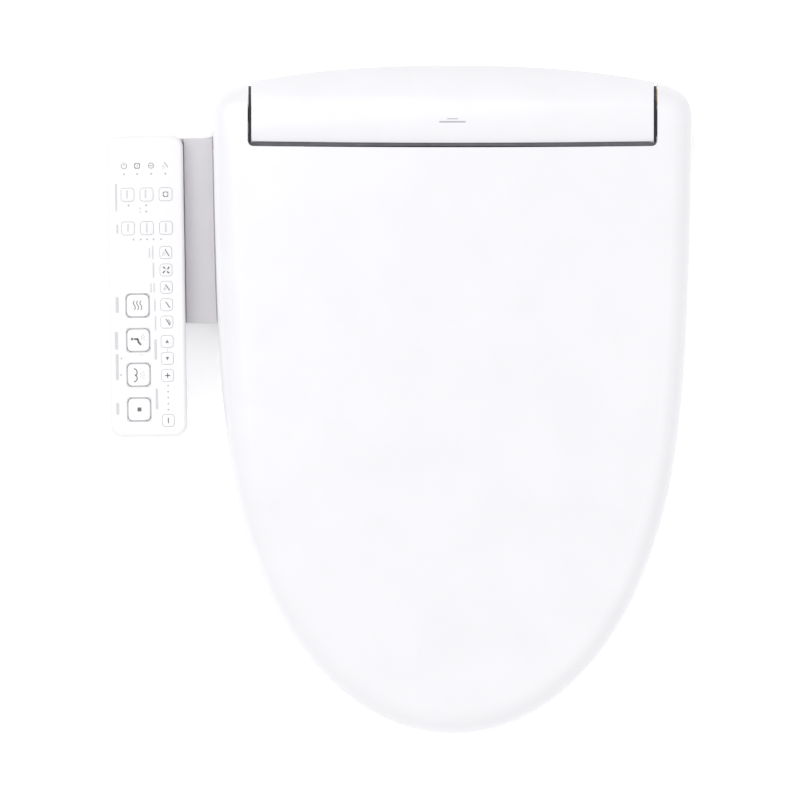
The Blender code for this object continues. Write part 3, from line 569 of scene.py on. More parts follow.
def edge_drop(distance):
    """How far the roof has rolled down at a distance from the lid's edge."""
    share = max(0.0, 1 - distance / EDGE_ROLL_WIDTH)
    return EDGE_ROLL_DROP * (1 - math.sqrt(1 - share**2))


def seat_top_height(y):
    share = (SEAT_REAR_Y - y) / (SEAT_REAR_Y - NOSE_Y)
    return SEAT_REAR_TOP + (SEAT_FRONT_TOP - SEAT_REAR_TOP) * share


def lid_edge_height(y):
    """The skirt's lower edge follows the ring, and rises beside the housing to clear its sweep."""
    if y <= SEAT_REAR_Y:
        return seat_top_height(y) - LID_OVERLAP
    rise = HINGE_Z - SEAT_REAR_TOP + LID_OVERLAP
    share = min(1.0, (y - SEAT_REAR_Y) / 48.0)
    return SEAT_REAR_TOP - LID_OVERLAP + rise * math.sin(math.pi / 2 * share)


def dome(half, wall, steps):
    """Rings from the skirt's lower edge over the rolled edge, outside the lid's wall or inside it."""
    rings = []
    for turn in (0, 30, 60, 90):
        inwards = LID_LIP * (1 - math.sin(math.radians(turn))) * (1 if wall == 0 else -1)
        raised = LID_LIP * (1 - math.cos(math.radians(turn)))
        edge = mirrored(inset(half, wall + inwards))
        rings.append([(x, y, lid_edge_height(y) + raised) for x, y in edge])
    for step in range(steps + 1):
        distance = (EDGE_ROLL_WIDTH - wall) * (1 - math.cos(math.pi / 2 * step / steps))
        edge = mirrored(inset(half, wall + distance))
        rings.append([(x, y, roof(y) - crown(x) - edge_drop(distance) - wall) for x, y in edge])
    return rings


def rungs(verts, start, count, span, thickness):
    """Fills the innermost ring with rows across the lid, one for each pair of mirrored points."""
    last = count // 2
    rows = []
    for k in range(1, last):
        right = start + k
        left = start + count - k
        x, y, _ = verts[right]
        row = [right]
        for step in range(1, span):
            across = x * (1 - 2 * step / span)
            row.append(len(verts))
            verts.append((across, y, roof(y) - crown(across) - thickness))
        rows.append([*row, left])
    faces = [(start, *rows[0]), (start + last, *rows[-1][::-1])]
    for upper, lower in zip(rows, rows[1:]):
        faces += [(upper[j], upper[j + 1], lower[j + 1], lower[j]) for j in range(span)]
    return faces


def lid_shape():
    """The lid before its notch: an outer and an inner dome, joined round the skirt's lower edge."""
    half = lid_half_outline()
    rings = dome(half, 0.0, 14)[::-1] + dome(half, LID_WALL, 10)
    verts, faces = skin(rings)
    count = len(rings[0])
    for start, thickness in ((0, 0.0), ((len(rings) - 1) * count, LID_WALL)):
        faces += rungs(verts, start, count, 36, thickness)
    return verts, faces


def lid_arm_wall(side):
    """The lid arm's inner wall, which carries the hinge bore."""
    ys = [NOTCH_Y - 10 + 1.25 * i for i in range(45)]
    top = [(y, roof(y) - crown(NOTCH_HALF) - edge_drop(rear_line(NOTCH_HALF) - y) - 1.5) for y in ys]
    outline = top + [(ys[-1], HINGE_Z + 4), (HINGE_Y + 12, HINGE_Z - 11), (HINGE_Y - 8, HINGE_Z - 13)]
    outline += [(ys[0], HINGE_Z + 12)]
    return side_plate(outline, side * (NOTCH_HALF + 0.1), side * (NOTCH_HALF + 2.5))


def lid_rib(rear=-9.0, front=-11.0, half=158.0):
    """A rib under the lid's roof that closes the view through the gap in front of the housing."""
    sections = []
    for i in range(65):
        x = half * (i / 32 - 1)
        foot = HINGE_Z + ROOF_RADIUS - 10.3 - crown(x)
        tops = [(x, y, roof(y) - crown(x) - LID_WALL / 2) for y in (rear, front)]
        sections.append([(x, front, foot), (x, rear, foot), *tops])
    return loft(sections, closed_along=False)


def hinge_bore(half):
    """The round way for the hinge pins, out to a half width."""
    return rod((-half, HINGE_Y, HINGE_Z), (half, HINGE_Y, HINGE_Z), BORE_RADIUS)


def notch_tool():
    """The housing's space in the lid, with round inner corners and a front edge bowed forward."""
    front = []
    for i in range(33):
        x = (NOTCH_HALF - NOTCH_CORNER) * (i / 16 - 1)
        front.append((x, NOTCH_Y - NOTCH_BOW * (1 - (x / NOTCH_HALF) ** 2)))
    corners = []
    for step in range(1, 10):
        angle = math.radians(10 * step)
        corner_x = NOTCH_HALF - NOTCH_CORNER + NOTCH_CORNER * math.sin(angle)
        corners.append((corner_x, NOTCH_Y + NOTCH_CORNER * (1 - math.cos(angle))))
    right = corners + [(NOTCH_HALF, 90.0)]
    left = [(-x, y) for x, y in right[::-1]]
    return prism(left + front + right, 10.0, 200.0)


def make_lid():
    """The lid with its notch, its arms' hinge bore and its rib."""
    lid = mesh_object("lid", *lid_shape(), [GLOSS])
    add(lid, lid_arm_wall(1), lid_arm_wall(-1), lid_rib())
    cut(lid, notch_tool(), hinge_bore(NOTCH_HALF + 8))
    soften(lid, 0.7)
    show(lid, "lid", "gloss_shell", "lid_shell")


# ---------------------------------------------------------------- the housing


def cover_section(x, shrink, foot, steps=36):
    """The cover's closed outline at one x, going up the front, over the top and down the rear."""
    radius = COVER_RADIUS - crown(x) - shrink
    front = COVER_FRONT_Y - COVER_BOW * (1 - (x / COVER_HALF) ** 2) + shrink - HINGE_Y
    rear = rear_line(x) - shrink - HINGE_Y
    start = math.acos(front / radius)
    end = math.acos(min(rear / radius, 0.999))
    points = [(x, HINGE_Y + front, foot)]
    for step in range(steps + 1):
        angle = start + (end - start) * step / steps
        points.append((x, HINGE_Y + radius * math.cos(angle), HINGE_Z + radius * math.sin(angle)))
    return points + [(x, HINGE_Y + rear, foot)]


def cover_shape(half, shrink, foot):
    """The cover's whole form out to a half width, drawn in by shrink."""
    count = 64
    stations = [half * (2 * i / count - 1) for i in range(count + 1)]
    return loft([cover_section(x, shrink, foot) for x in stations], closed_along=False)


def make_cover():
    """The hollow top of the housing."""
    cover = mesh_object("housing_cover", *cover_shape(COVER_HALF, 0.0, COVER_LOW.z), [GLOSS])
    cut(cover, cover_shape(COVER_HALF - WALL, WALL, COVER_LOW.z - 20), hinge_bore(170))
    soften(cover, 1.1, angle=35.0, segments=4)
    show(cover, "housing", "gloss_shell", "rear_cover")


def housing_plan(edge, steps=48):
    """The base's outline, drawn in by an edge distance."""
    half = BASE_HALF - edge
    rear = [half * (1 - 2 * i / steps) for i in range(steps + 1)]
    front_y = BASE_LOW.y + edge
    return [(-half, front_y), (half, front_y)] + [(x, rear_line(x) - 2 - edge) for x in rear]


def make_base():
    """The housing's lower half, open for the plate, the nozzle, the air and what its sides carry."""
    base = mesh_object("housing_base", *prism(housing_plan(0), BASE_LOW.z, BASE_HIGH.z), [SATIN])
    ways = [
        prism(housing_plan(WALL), BASE_FLOOR + WALL, BASE_HIGH.z + 20),  # the room inside
        prism(housing_plan(WALL), -10, BASE_FLOOR),  # the recess under the floor
        block((-97, -10, -10), (97, 12, BASE_FLOOR)),  # mounting plate
        block((-14, -10, 20), (14, 10, 46)),  # nozzle
        block((-82, -10, 13), (-38, 10, 37)),  # dryer's air
        block((140, 9.65, 43.65), (170, 34.35, 56.35)),  # release button
        block((-170, 13.65, 43.65), (-140, 38.35, 56.85)),  # odour filter
        rod((140, 33, 24), (170, 33, 24), 8.3),  # water inlet
        rod((140, 11, 24), (170, 11, 24), 6.3),  # cord's gland
    ]
    cut(base, *ways)
    soften(base, 0.6)
    show(base, "housing", "satin_shell", "base_shell")


CAD_TO_REFINE = (
    "front_shroud", "mounting_plate", "release_button", "odour_filter", "water_inlet", "power_gland",
    "nozzle_cradle", "nozzle_wand", "nozzle_motor", "water_tank", "inlet_valve", "dryer_scroll",
    "dryer_duct", "dryer_motor", "hinge_pin_left", "hinge_pin_right", "seat_damper", "lid_damper",
    "lid_buffer_left", "lid_buffer_right", "seat_buffer_front_left", "seat_buffer_front_right",
    "seat_buffer_rear_left", "seat_buffer_rear_right", "control_board", "panel_board", "gap_seal",
)


def refine(node):
    """Shows a CAD node's own mesh, welded and with its hard edges rounded."""
    source = frame["nodes"][node]
    obj = bpy.data.objects.new("fine_" + node, source.data.copy())
    bpy.context.scene.collection.objects.link(obj)
    obj.data.materials.clear()
    obj.data.materials.append(SLOT_FINISH[NODE_SLOT[node]])
    obj.data.polygons.foreach_set("material_index", [0] * len(obj.data.polygons))
    shape = bmesh.new()
    shape.from_mesh(obj.data)
    bmesh.ops.remove_doubles(shape, verts=shape.verts, dist=0.00001)
    flat = math.radians(1.0)
    bmesh.ops.dissolve_limit(shape, verts=shape.verts, edges=shape.edges, angle_limit=flat)
    shape.to_mesh(obj.data)
    shape.free()
    soften(obj, 0.4, segments=2)
    show(obj, NODE_BODY[node], NODE_SLOT[node], node)


# ---------------------------------------------------------------- the seat ring


def between(a, b, c, d, t):
    """A number on the smooth curve from b to c that a comes before and d after."""
    square = (2 * a - 5 * b + 4 * c - d) * t**2
    cube = (3 * b - a - 3 * c + d) * t**3
    return 0.5 * (2 * b + (c - a) * t + square + cube)


def smooth_through(points, steps=5):
    """More points on a smooth curve through the given ones, each a tuple, with the ends kept."""
    padded = [points[0], *points, points[-1]]
    result = []
    for four in zip(padded, padded[1:], padded[2:], padded[3:]):
        for step in range(steps):
            result.append(tuple(between(*numbers, step / steps) for numbers in zip(*four)))
    return result + [points[-1]]


def seat_half_outline():
    """The ring's outer edge: straight along the housing, then a little inside the lid's outline."""
    edge = 8.0
    half_width = side_half_width(SEAT_REAR_Y - edge) - SEAT_INSET
    shares = (0, 0.12, 0.24, 0.36, 0.48, 0.6, 0.7, 0.8, 0.9)
    points = [(half_width * share, SEAT_REAR_Y) for share in shares]
    for step in range(9):
        angle = math.radians(90 * step / 8)
        x = half_width - edge + edge * math.sin(angle)
        points.append((x, SEAT_REAR_Y - edge + edge * math.cos(angle)))
    lid = inset(lid_half_outline(side_steps=70), SEAT_INSET)
    return points + [(x, y) for x, y in lid if y < SEAT_REAR_Y - edge - 3]


def hole_point(x, y):
    """The hole's edge on the line from the hole's centre to a point of the ring's outer edge."""
    dx, dy = x, y - HOLE_Y
    reach = 1 / math.hypot(dx / HOLE_HALF_X, dy / HOLE_HALF_Y)
    return dx * reach, HOLE_Y + dy * reach


def ring(profile):
    """A closed band round the hole.

    A profile point is its share of the way in, a distance further in, a drop, and 1 if the drop is
    from the ring's top or 0 if it is from the ground.
    """
    sections = []
    for x, y in mirrored(seat_half_outline()):
        outer = Vector((x, y))
        inner = Vector(hole_point(x, y))
        inwards = (inner - outer).normalized()
        section = []
        for share, extra, drop, from_top in profile:
            place = outer.lerp(inner, share) + inwards * extra
            level = seat_top_height(place.y) * from_top - drop
            section.append((place.x, place.y, level))
        sections.append(section)
    return loft(sections, closed_along=True)


def seat_ear(side):
    """The arm from the ring's rear corner up to the hinge pin."""
    outline = []
    for step in range(41):
        angle = math.radians(-105 + 265 * step / 40)
        outline.append((HINGE_Y + 15 * math.cos(angle), HINGE_Z + 15 * math.sin(angle)))
    outline += [(SEAT_REAR_Y - 2, 51.5), (SEAT_REAR_Y - 2, 43.5), (SEAT_REAR_Y + 4, 43.5)]
    return side_plate(outline, side * 167.5, side * 177.5)


def tunnel_walls(low, high):
    """Walls that close the ring round the space over the hood, open in front for the nozzle."""
    front = (TUNNEL_FRONT_Y - 3, TUNNEL_FRONT_Y + 1)
    side_x = (TUNNEL_HALF - 1, TUNNEL_HALF + 3)
    rear_y = SEAT_REAR_Y - 1.5
    corner = [(32, front[0]), (side_x[1], front[0]), (side_x[1], rear_y), (side_x[0], rear_y)]
    corner += [(side_x[0], front[1]), (32, front[1])]
    return [prism([(side * x, y) for x, y in corner], low, high) for side in (-1, 1)]


def tunnel_space():
    return block((-TUNNEL_HALF, TUNNEL_FRONT_Y, -5), (TUNNEL_HALF, 10, TUNNEL_TOP))


def make_ring_top():
    """The ring's upper shell, with its ears and the walls and ceiling of the space over the hood."""
    wall = SEAT_WALL
    ridge = (0.5, 0, 1.6, 1)
    outer_side = [(0, 0, 10, 1), (0, 1.6, 5, 1), (0, 5, 1.4, 1), (0, 12, 0, 1), ridge]
    inner_side = [ridge, (1, -12, 3.2, 1), (1, -4, 6, 1), (1, 0, 11, 1)]
    under = [(1, -wall, 11, 1), (1, -12, 6.4, 1), (0.5, 0, 4.8, 1), (0, 12, 3.2, 1), (0, wall, 10, 1)]
    profile = [(0, 0, -SEAT_SPLIT, 0), *smooth_through(outer_side)[:-1], *smooth_through(inner_side)]
    profile += [(1, 0, -SEAT_SPLIT, 0), (1, -wall, -SEAT_SPLIT, 0), *smooth_through(under)]
    top = mesh_object("ring_top", *ring(profile + [(0, wall, -SEAT_SPLIT, 0)]), [GLOSS])
    add(top, seat_ear(1), seat_ear(-1))
    ceiling = block((-121.6, -90, TUNNEL_TOP - 1), (121.6, -10, TUNNEL_TOP + 1.5))
    add(top, *tunnel_walls(SEAT_SPLIT + JOINT_GAP, TUNNEL_TOP + 0.7), ceiling)
    cut(top, hinge_bore(185), tunnel_space())
    soften(top, 0.6)
    show(top, "seat", "gloss_shell", "seat_top")


def make_ring_tray():
    """The ring's lower shell."""
    wall = SEAT_WALL
    under = SEAT_SPLIT - JOINT_GAP
    floor = SEAT_BOTTOM + 3
    profile = [(0, 3, -SEAT_BOTTOM, 0), (0, 0, -floor, 0), (0, 0, -under, 0), (0, wall, -under, 0)]
    profile += [(0, wall, -floor, 0), (1, -wall, -floor, 0), (1, -wall, -under, 0), (1, 0, -under, 0)]
    profile += [(1, 0, -floor, 0), (1, -3, -SEAT_BOTTOM, 0)]
    tray = mesh_object("ring_tray", *ring(profile), [SATIN])
    add(tray, *tunnel_walls(SEAT_BOTTOM + JOINT_GAP, under - JOINT_GAP))
    cut(tray, tunnel_space())
    soften(tray, 0.6)
    show(tray, "seat", "satin_shell", "seat_bottom")


# ---------------------------------------------------------------- the side panel


def in_panel(u, v):
    """The matrix that puts a shape drawn about the panel's centre at (u, v) on the turned panel."""
    turn = Matrix.Rotation(PANEL_TURN, 4, "Z")
    return Matrix.Translation(PANEL_CENTRE) @ turn @ Matrix.Translation((u, v, 0))


def pillow(width, length, corner, low, high, rim, steps=8):
    """A rounded slab whose upper rim rolls over with a quarter circle."""
    sections = [[(x, y, low) for x, y in rounded(width, length, corner)]]
    for step in range(steps + 1):
        angle = math.pi / 2 * step / steps
        shrink = rim * (1 - math.cos(angle))
        level = high - rim * (1 - math.sin(angle))
        outline = rounded(width - 2 * shrink, length - 2 * shrink, corner - shrink * 0.8)
        sections.append([(x, y, level) for x, y in outline])
    return loft(sections, closed_along=False)


def key_layout():
    """Each key's name, place on the panel and side length."""
    keys = []
    for i, name in enumerate(("dryer", "front", "rear", "stop")):
        keys.append((f"key_{name}", -7.4, -15.3 - 27.5 * i, LARGE_KEY))
    for i, name in enumerate(("wand_clean", "air_dry", "mist", "pulse", "sweep")):
        keys.append((f"key_{name}", 15.6, 26.4 - 13.8 * i, COLUMN_KEY))
    lower = [("position_back", -44.2), ("position_front", -57.6)]
    lower += [("pressure_up", -71.2), ("pressure_down", -106.9)]
    keys += [(f"key_{name}", 15.6, v, COLUMN_KEY) for name, v in lower]
    for row, v in (("top", 72.7), ("low", 46.0)):
        for i, letter in enumerate("abc"):
            keys.append((f"key_{row}_{letter}", -14.1 + 15.1 * i, v, ROW_KEY))
    return keys


def make_case():
    """The panel's hollow lower half."""
    case_shape = pillow(PANEL_WIDTH, PANEL_LENGTH, 10, PANEL_FOOT, PANEL_SPLIT, 0.5, 3)
    case = mesh_object("keypad_case", *moved(case_shape, in_panel(0, 0)), [PANEL_GLOSS])
    room = prism(rounded(PANEL_WIDTH - 4, PANEL_LENGTH - 4, 8), PANEL_FOOT + 2, PANEL_SPLIT + 20)
    cut(case, moved(room, in_panel(0, 0)))
    soften(case, 0.5)
    show(case, "housing", "gloss_shell", "panel_case")


def make_panel_cover():
    """The panel's upper half, with a hole for each key."""
    foot = PANEL_SPLIT + JOINT_GAP
    cover_shape = pillow(PANEL_WIDTH, PANEL_LENGTH, 10, foot, PANEL_TOP, 3.0)
    cover = mesh_object("keypad_cover", *moved(cover_shape, in_panel(0, 0)), [PANEL_GLOSS])
    under = prism(rounded(PANEL_WIDTH - 5, PANEL_LENGTH - 5, 7.5), foot - 20, PANEL_TOP - 2.2)
    holes = [moved(under, in_panel(0, 0))]
    for _, u, v, side in key_layout():
        hole = rounded(side + KEY_GAP, side + KEY_GAP, KEY_CORNER + KEY_GAP / 2)
        holes.append(moved(prism(hole, 60, 80), in_panel(u, v)))
    cut(cover, *holes)
    soften(cover, 0.12)
    show(cover, "housing", "gloss_shell", "panel_cover")


def make_key(name, u, v, side):
    """A key's cap with a rolled rim."""
    cap = pillow(side, side, KEY_CORNER, KEY_TOP - KEY_HEIGHT, KEY_TOP, 0.45, 4)
    obj = mesh_object(name.replace("key_", "cap_"), *moved(cap, in_panel(u, v)), [KEY])
    obj.data.shade_smooth()
    obj.data.set_sharp_from_angle(angle=math.radians(38))
    show(obj, name, "key_caps", name)


# ---------------------------------------------------------------- printed marks


# Every mark is a list of outlines, drawn about its key's centre or the panel's
INK_HEIGHT = 0.06
INKS = [DARK_INK, GREY_INK, FAINT_INK]
DARK, GREY, FAINT = range(3)


def shifted(outlines, u, v):
    return [[(x + u, y + v) for x, y in outline] for outline in outlines]


def disc(u, v, radius, count=20):
    return shifted([circle(radius, count)], u, v)


def bar(u, v, width, height):
    """A block that stands for a word or a line."""
    corner = min(width, height) * 0.45
    return shifted([rounded(width, height, corner, 3)], u, v)


def stroke(points, width):
    """A line of even width through points, as one convex strip for each of its steps."""
    half = width / 2
    strips = []
    for (x0, y0), (x1, y1) in zip(points, points[1:]):
        along = Vector((x1 - x0, y1 - y0)).normalized() * half
        across = Vector((-along.y, along.x))
        start = Vector((x0, y0)) - along * 0.4
        end = Vector((x1, y1)) + along * 0.4
        corners = (start - across, end - across, end + across, start + across)
        strips.append([tuple(corner) for corner in corners])
    return strips


def arc(u, v, radius, start, end, width, steps=10):
    """A stroke along part of a circle, from one angle to another in degrees."""
    points = []
    for step in range(steps + 1):
        angle = math.radians(start + (end - start) * step / steps)
        points.append((u + radius * math.cos(angle), v + radius * math.sin(angle)))
    return stroke(points, width)


def wave(u, v, height, swing, width):
    """An upright wavy line."""
    points = []
    for step in range(13):
        share = step / 12
        points.append((u + swing * math.sin(2 * math.pi * share), v + height * (share - 0.5)))
    return stroke(points, width)


def outline_ring(side, corner, width):
    """A square outline with round corners, as a strip for each side and corner step."""
    points = rounded(side - width, side - width, corner)
    return stroke(points + points[:1], width)


def dotted_fan(u, v, reach, tilt):
    """Three short rows of dots that spread like spray."""
    dots = []
    for spread_angle in (-28, 0, 28):
        angle = math.radians(tilt + spread_angle)
        for distance in (reach * 0.45, reach * 0.75, reach * 1.0):
            dots += disc(u + distance * math.cos(angle), v + distance * math.sin(angle), 0.26, 8)
    return dots


def wand_icon(spray, length=4.6):
    """A slanting wand with its spray below it."""
    marks = stroke([(-0.6, length / 2), (2.4, -length / 2)], 0.75)
    if spray:
        marks += dotted_fan(0.6, -1.4, spray, 165)
    return marks


def fan_icon():
    """Four short blades."""
    blades = []
    for turn in (45, 135, 225, 315):
        angle = math.radians(turn)
        along = Vector((math.cos(angle), math.sin(angle)))
        across = Vector((-along.y, along.x))
        tip = along * 3.6
        corners = (along * 0.5, along * 2.0 - across * 0.9, tip - across * 0.5, tip + across * 0.5)
        blades.append([tuple(corner) for corner in corners])
    return blades


def dryer_icon():
    return [strip for u in (-2.6, 0.0, 2.6) for strip in wave(u, 0.2, 7.2, 0.75, 0.6)]


def front_icon():
    """A seated figure from the side, with spray."""
    body = stroke([(-3.0, 0.9), (-0.4, 0.9), (0.3, -1.6), (2.0, -3.6)], 1.5)
    return disc(-4.8, 0.9, 1.05) + body + dotted_fan(1.0, 1.6, 4.2, 12)


def rear_icon():
    """Two round curves side by side, with spray."""
    curves = arc(-4.2, 2.0, 3.0, -62, 80, 0.75) + arc(-4.2, -2.6, 3.0, -80, 62, 0.75)
    return curves + dotted_fan(-0.4, -0.2, 5.2, 0)


KEY_MARKS = {
    "key_dryer": dryer_icon,
    "key_front": front_icon,
    "key_rear": rear_icon,
    "key_stop": lambda: shifted([rounded(3.2, 3.2, 0.6, 3)], 0.2, 0),
    "key_wand_clean": lambda: wand_icon(3.4, 5.2),
    "key_air_dry": fan_icon,
    "key_mist": lambda: wand_icon(3.0, 4.4),
    "key_pulse": lambda: wand_icon(0.0),
    "key_sweep": lambda: wand_icon(0.0) + stroke([(0.9, 2.0), (2.9, -0.4), (1.6, -2.2)], 0.4),
    "key_position_back": lambda: [[(-1.35, -1.1), (1.35, -1.1), (0.0, 1.5)]],
    "key_position_front": lambda: [[(1.35, 1.1), (-1.35, 1.1), (0.0, -1.5)]],
    "key_pressure_up": lambda: bar(0, 0, 4.2, 0.8) + bar(0, 0, 0.8, 4.2),
    "key_pressure_down": lambda: bar(0, 0, 0.8, 4.4),
    "key_top_a": lambda: bar(-0.4, 0.4, 1.3, 6.6),
    "key_top_b": lambda: bar(-0.8, 0.6, 1.3, 6.8),
    "key_top_c": lambda: outline_ring(4.4, 1.4, 0.65),
    "key_low_a": lambda: bar(0.0, 0.6, 1.3, 6.2),
    "key_low_b": lambda: bar(-0.2, 0.2, 1.3, 7.8),
    "key_low_c": lambda: bar(-0.2, 0.2, 1.3, 7.6),
}


def printed(name, marks, matrix, body, level):
    """Thin raised ink; marks holds pairs of outlines and the number of their ink."""
    verts, faces, numbers = [], [], []
    for outlines, number in marks:
        for outline in outlines:
            shape_verts, shape_faces = prism(outline, level - INK_HEIGHT, level + INK_HEIGHT)
            faces += [tuple(len(verts) + index for index in face) for face in shape_faces]
            numbers += [number] * len(shape_faces)
            verts += [matrix @ Vector(v) for v in shape_verts]
    obj = mesh_object(name, verts, faces, INKS, numbers)
    show(obj, body, "print_ink")


def print_keys():
    """Each key's symbol, with a frame round the large ones."""
    for name, u, v, side in key_layout():
        marks = [(KEY_MARKS[name](), FAINT if side == ROW_KEY else DARK)]
        if side == LARGE_KEY:
            marks.append((outline_ring(side - 0.5, 3.2, 0.75), GREY))
        printed(name.replace("key_", "print_"), marks, in_panel(u, v), name, KEY_TOP)


TOP_ROW_U = (-16.6, -6.2, 4.9, 16.1)
TOP_ROW_V = 95.6
LAMPS = (
    *((u, 89.1, 0.75) for u in TOP_ROW_U),
    (-13.4, 64.2, 0.75), (0.6, 64.2, 0.75), (0.6, 59.2, 0.75),
    *((u, 37.1, 0.7) for u in (-9.9, -4.1, 0.9, 6.0, 12.0)),
    *((15.8, -79.3 - 4.75 * i, 0.7) for i in range(5)),
    (-20.9, -57.2, 0.65), (-21.4, -70.2, 0.65),
)
# Bars in place of words, each with its centre, width and height
WORDS = (
    (-23.2, 70.6, 1.5, 22.0), (-22.6, 45.6, 1.5, 7.4), (-4.4, 61.7, 1.3, 1.6), (-4.2, 59.0, 1.3, 1.4),
    (-23.6, -14.6, 2.6, 13.0), (-24.6, -43.0, 2.6, 14.4), (-24.3, -64.0, 2.4, 21.0),
    (-24.4, -97.0, 2.4, 9.8), (5.2, 26.6, 1.1, 10.6), (2.6, 26.2, 1.1, 7.6), (5.6, 12.6, 1.3, 12.0),
    (5.9, -1.4, 1.1, 7.4), (3.4, -1.6, 1.1, 7.6), (6.3, -15.2, 1.2, 9.6), (6.6, -29.6, 1.2, 12.0),
    (6.4, -50.4, 2.0, 16.6), (6.8, -89.6, 2.0, 16.6), (15.7, -51.0, 0.45, 5.2),
)


def top_row_symbols():
    """Power, a square with a dash, a circle with a dash, and a wand with its spray."""
    power, square, round_one, wand = TOP_ROW_U
    v = TOP_ROW_V
    symbols = arc(power, v, 2.2, 120, 420, 0.6) + stroke([(power, v), (power, v + 3)], 0.6)
    symbols += shifted(outline_ring(4.6, 1.4, 0.6), square, v) + bar(square, v, 0.6, 2.4)
    symbols += arc(round_one, v, 2.1, 0, 360, 0.6, 16) + bar(round_one, v, 3.0, 0.6)
    symbols += stroke([(wand - 0.6, 98.0), (wand + 2.0, 94.2)], 0.8)
    return symbols + dotted_fan(wand + 0.4, 94.8, 2.8, 190)


def print_panel():
    """Marks on the cover itself: symbols, lamps and bars in place of words."""
    lamps = [outline for place in LAMPS for outline in disc(*place)]
    words = [outline for place in WORDS for outline in bar(*place)]
    words += dotted_fan(-5.4, -56.6, 3.4, 80)
    marks = [(top_row_symbols(), GREY), (lamps, GREY), (words, FAINT)]
    printed("print_panel", marks, in_panel(0, 0), "housing", PANEL_TOP)


def print_badge():
    """A plain double bar on the housing's cover, tilted with its surface."""
    mark = bar(0, 2.4, 9.0, 0.7) + bar(0, 0, 21.0, 1.2)
    tilt = math.asin((BADGE_Y - HINGE_Y) / COVER_RADIUS)
    height = HINGE_Z + COVER_RADIUS * math.cos(tilt)
    place = Matrix.Translation((0, BADGE_Y, height)) @ Matrix.Rotation(-tilt, 4, "X")
    printed("print_badge", [(mark, GREY)], place, "housing", 0.0)


# ---------------------------------------------------------------- the arm


def arm_inner_edge(steps=40):
    """The arm cover's edge beside the lid, from the front to the bridge."""
    ys = [ARM_FRONT_Y + (SEAT_REAR_Y + 3 - ARM_FRONT_Y) * i / steps for i in range(steps + 1)]
    return [(-side_half_width(y) - ARM_GAP, y) for y in ys]


def panel_edge_x(y):
    """The side of the panel that faces the seat."""
    return PANEL_CENTRE.x + PANEL_WIDTH / 2 - (y - PANEL_CENTRE.y) * math.tan(PANEL_TURN)


def arm_roof(x, y):
    """The arm's top rises a little towards the lid, and more towards the housing."""
    inwards = (x - ARM_OUTER_X) / (ARM_INNER_X - ARM_OUTER_X)
    return ARM_TOP + 1.5 + 3.0 * inwards + 11.0 * (y - ARM_FRONT_Y) / (ARM_REAR_Y - ARM_FRONT_Y)


def make_arm_tray():
    """The hollow arm: a stretch along the ring, under the panel, and a bridge to the housing."""
    corner = smooth_through([(-183, 30), (-188.5, 9), (-190.5, 5), (-194, 3.4), (-200, ARM_REAR_Y)])
    outline = [(ARM_OUTER_X, ARM_FRONT_Y), (TRAY_INNER_X, ARM_FRONT_Y), (TRAY_INNER_X, -12.0)]
    outline += [(ARM_INNER_X, SEAT_REAR_Y + 3), (-BASE_HALF - JOINT_GAP, SEAT_REAR_Y + 10)]
    outline += [(-BASE_HALF - JOINT_GAP, 30), *corner, (ARM_OUTER_X, ARM_REAR_Y)]
    tray = mesh_object("arm_shell", *prism(outline, ARM_LOW.z, ARM_TOP), [ARM_PAINTED_SHADE])
    room = [(ARM_OUTER_X + WALL, ARM_FRONT_Y + WALL), (TRAY_INNER_X - WALL, ARM_FRONT_Y + WALL)]
    room += [(TRAY_INNER_X - WALL, 0.0), (ARM_OUTER_X + WALL, 0.0)]
    cut(tray, prism(room, 7, 60))
    # the way for the wires, from the room to the bridge's end
    channel = [(-205, -3), (-184, -3), (-184, 4), (-140, 4)]
    channel += [(-140, 7), (-188, 7), (-188, 1), (-205, 1)]
    cut(tray, prism(channel, 10, 30))
    soften(tray, 1.0)
    show(tray, "housing", "arm_shell", "arm_tray")


def make_arm_cover():
    """The arm's top between the panel and the lid."""
    gap = 0.35
    plan = [(panel_edge_x(ARM_FRONT_Y) + gap, ARM_FRONT_Y), *arm_inner_edge()]
    plan += [(ARM_INNER_X, ARM_REAR_Y), (panel_edge_x(ARM_REAR_Y) + gap, ARM_REAR_Y)]
    # The greyer arm plastic on this top is painted shade for the valley between the panel and the lid.
    top = mesh_object("arm_lid", *prism(plan, ARM_TOP + JOINT_GAP, arm_roof), [ARM_PAINTED_SHADE])
    soften(top, 0.8)
    show(top, "housing", "arm_shell", "arm_cover")


# ---------------------------------------------------------------- stage


FLOOR_HALF = 40.0  # metres
HORIZON = 0.62  # the sky's strength round the edge, and straight above
ZENITH = 1.16
LIGHTS = (
    ("overhead", (-1.1, 0.3, 2.6), 2.6, 22.0),
    ("fill", (1.2, -1.6, 2.2), 1.6, 3.0),
)
LIT_SPOT = Vector((-0.04, -0.2, 0.0))
CAMERA_HEIGHT = 30.0
CAMERA_CENTRE = (-0.0416, -0.2049)
FIELD = 0.6344  # the picture's width in metres, at the lid's level
FIELD_LEVEL = 0.1


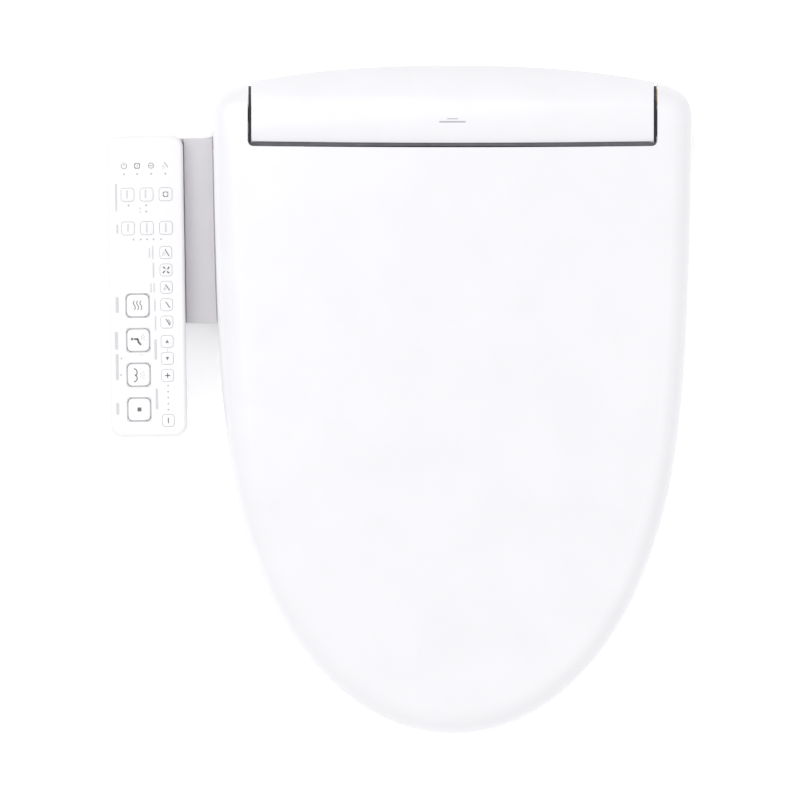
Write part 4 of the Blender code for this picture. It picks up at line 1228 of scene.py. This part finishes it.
def make_floor():
    half = FLOOR_HALF
    mesh = bpy.data.meshes.new("floor")
    corners = [(-half, -half, 0), (half, -half, 0), (half, half, 0), (-half, half, 0)]
    mesh.from_pydata(corners, [], [(0, 1, 2, 3)])
    floor = bpy.data.objects.new("floor", mesh)
    bpy.context.scene.collection.objects.link(floor)
    material, tree, shader = new_material("floor")
    tint = blend_colours(tree, noise(tree, 3.0), (0.955, 0.955, 0.955), (0.965, 0.965, 0.965))
    tree.links.new(tint, shader.inputs["Base Color"])
    shader.inputs["Roughness"].default_value = 0.9
    shader.inputs["Emission Color"].default_value = (1.0, 1.0, 1.0, 1.0)
    shader.inputs["Emission Strength"].default_value = 0.22
    mesh.materials.append(material)


def make_world():
    """An even white sky that weakens towards the horizon."""
    world = bpy.data.worlds.new("studio")
    world.use_nodes = True
    tree = world.node_tree
    background = tree.nodes["Background"]
    background.inputs["Color"].default_value = (1.0, 1.0, 1.0, 1.0)
    direction = tree.nodes.new("ShaderNodeTexCoord")
    parts = tree.nodes.new("ShaderNodeSeparateXYZ")
    tree.links.new(direction.outputs["Generated"], parts.inputs["Vector"])
    strength = tree.nodes.new("ShaderNodeMapRange")
    strength.inputs["From Min"].default_value = 0.0
    strength.inputs["From Max"].default_value = 1.0
    strength.inputs["To Min"].default_value = HORIZON
    strength.inputs["To Max"].default_value = ZENITH
    tree.links.new(parts.outputs["Z"], strength.inputs["Value"])
    tree.links.new(strength.outputs["Result"], background.inputs["Strength"])
    bpy.context.scene.world = world


def make_lights():
    for name, place, size, power in LIGHTS:
        light = bpy.data.lights.new(name, "AREA")
        light.size = size
        light.energy = power
        lamp = bpy.data.objects.new(name, light)
        lamp.location = place
        lamp.rotation_mode = "QUATERNION"
        lamp.rotation_quaternion = (LIT_SPOT - Vector(place)).to_track_quat("-Z", "Y")
        bpy.context.scene.collection.objects.link(lamp)


def make_camera():
    """Straight above, with a long lens."""
    data = bpy.data.cameras.new("camera")
    data.lens = data.sensor_width * (CAMERA_HEIGHT - FIELD_LEVEL) / FIELD
    data.clip_end = 100.0
    camera = bpy.data.objects.new("camera", data)
    camera.location = (*CAMERA_CENTRE, CAMERA_HEIGHT)
    bpy.context.scene.collection.objects.link(camera)
    bpy.context.scene.camera = camera


make_camera()
make_floor()
make_world()
make_lights()
bpy.context.scene.view_settings.view_transform = "Standard"
finish_cad_nodes()
make_lid()
make_cover()
make_base()
make_ring_top()
make_ring_tray()
make_case()
make_panel_cover()
for key in key_layout():
    make_key(*key)
make_arm_tray()
make_arm_cover()
print_keys()
print_panel()
print_badge()
for node in CAD_TO_REFINE:
    refine(node)
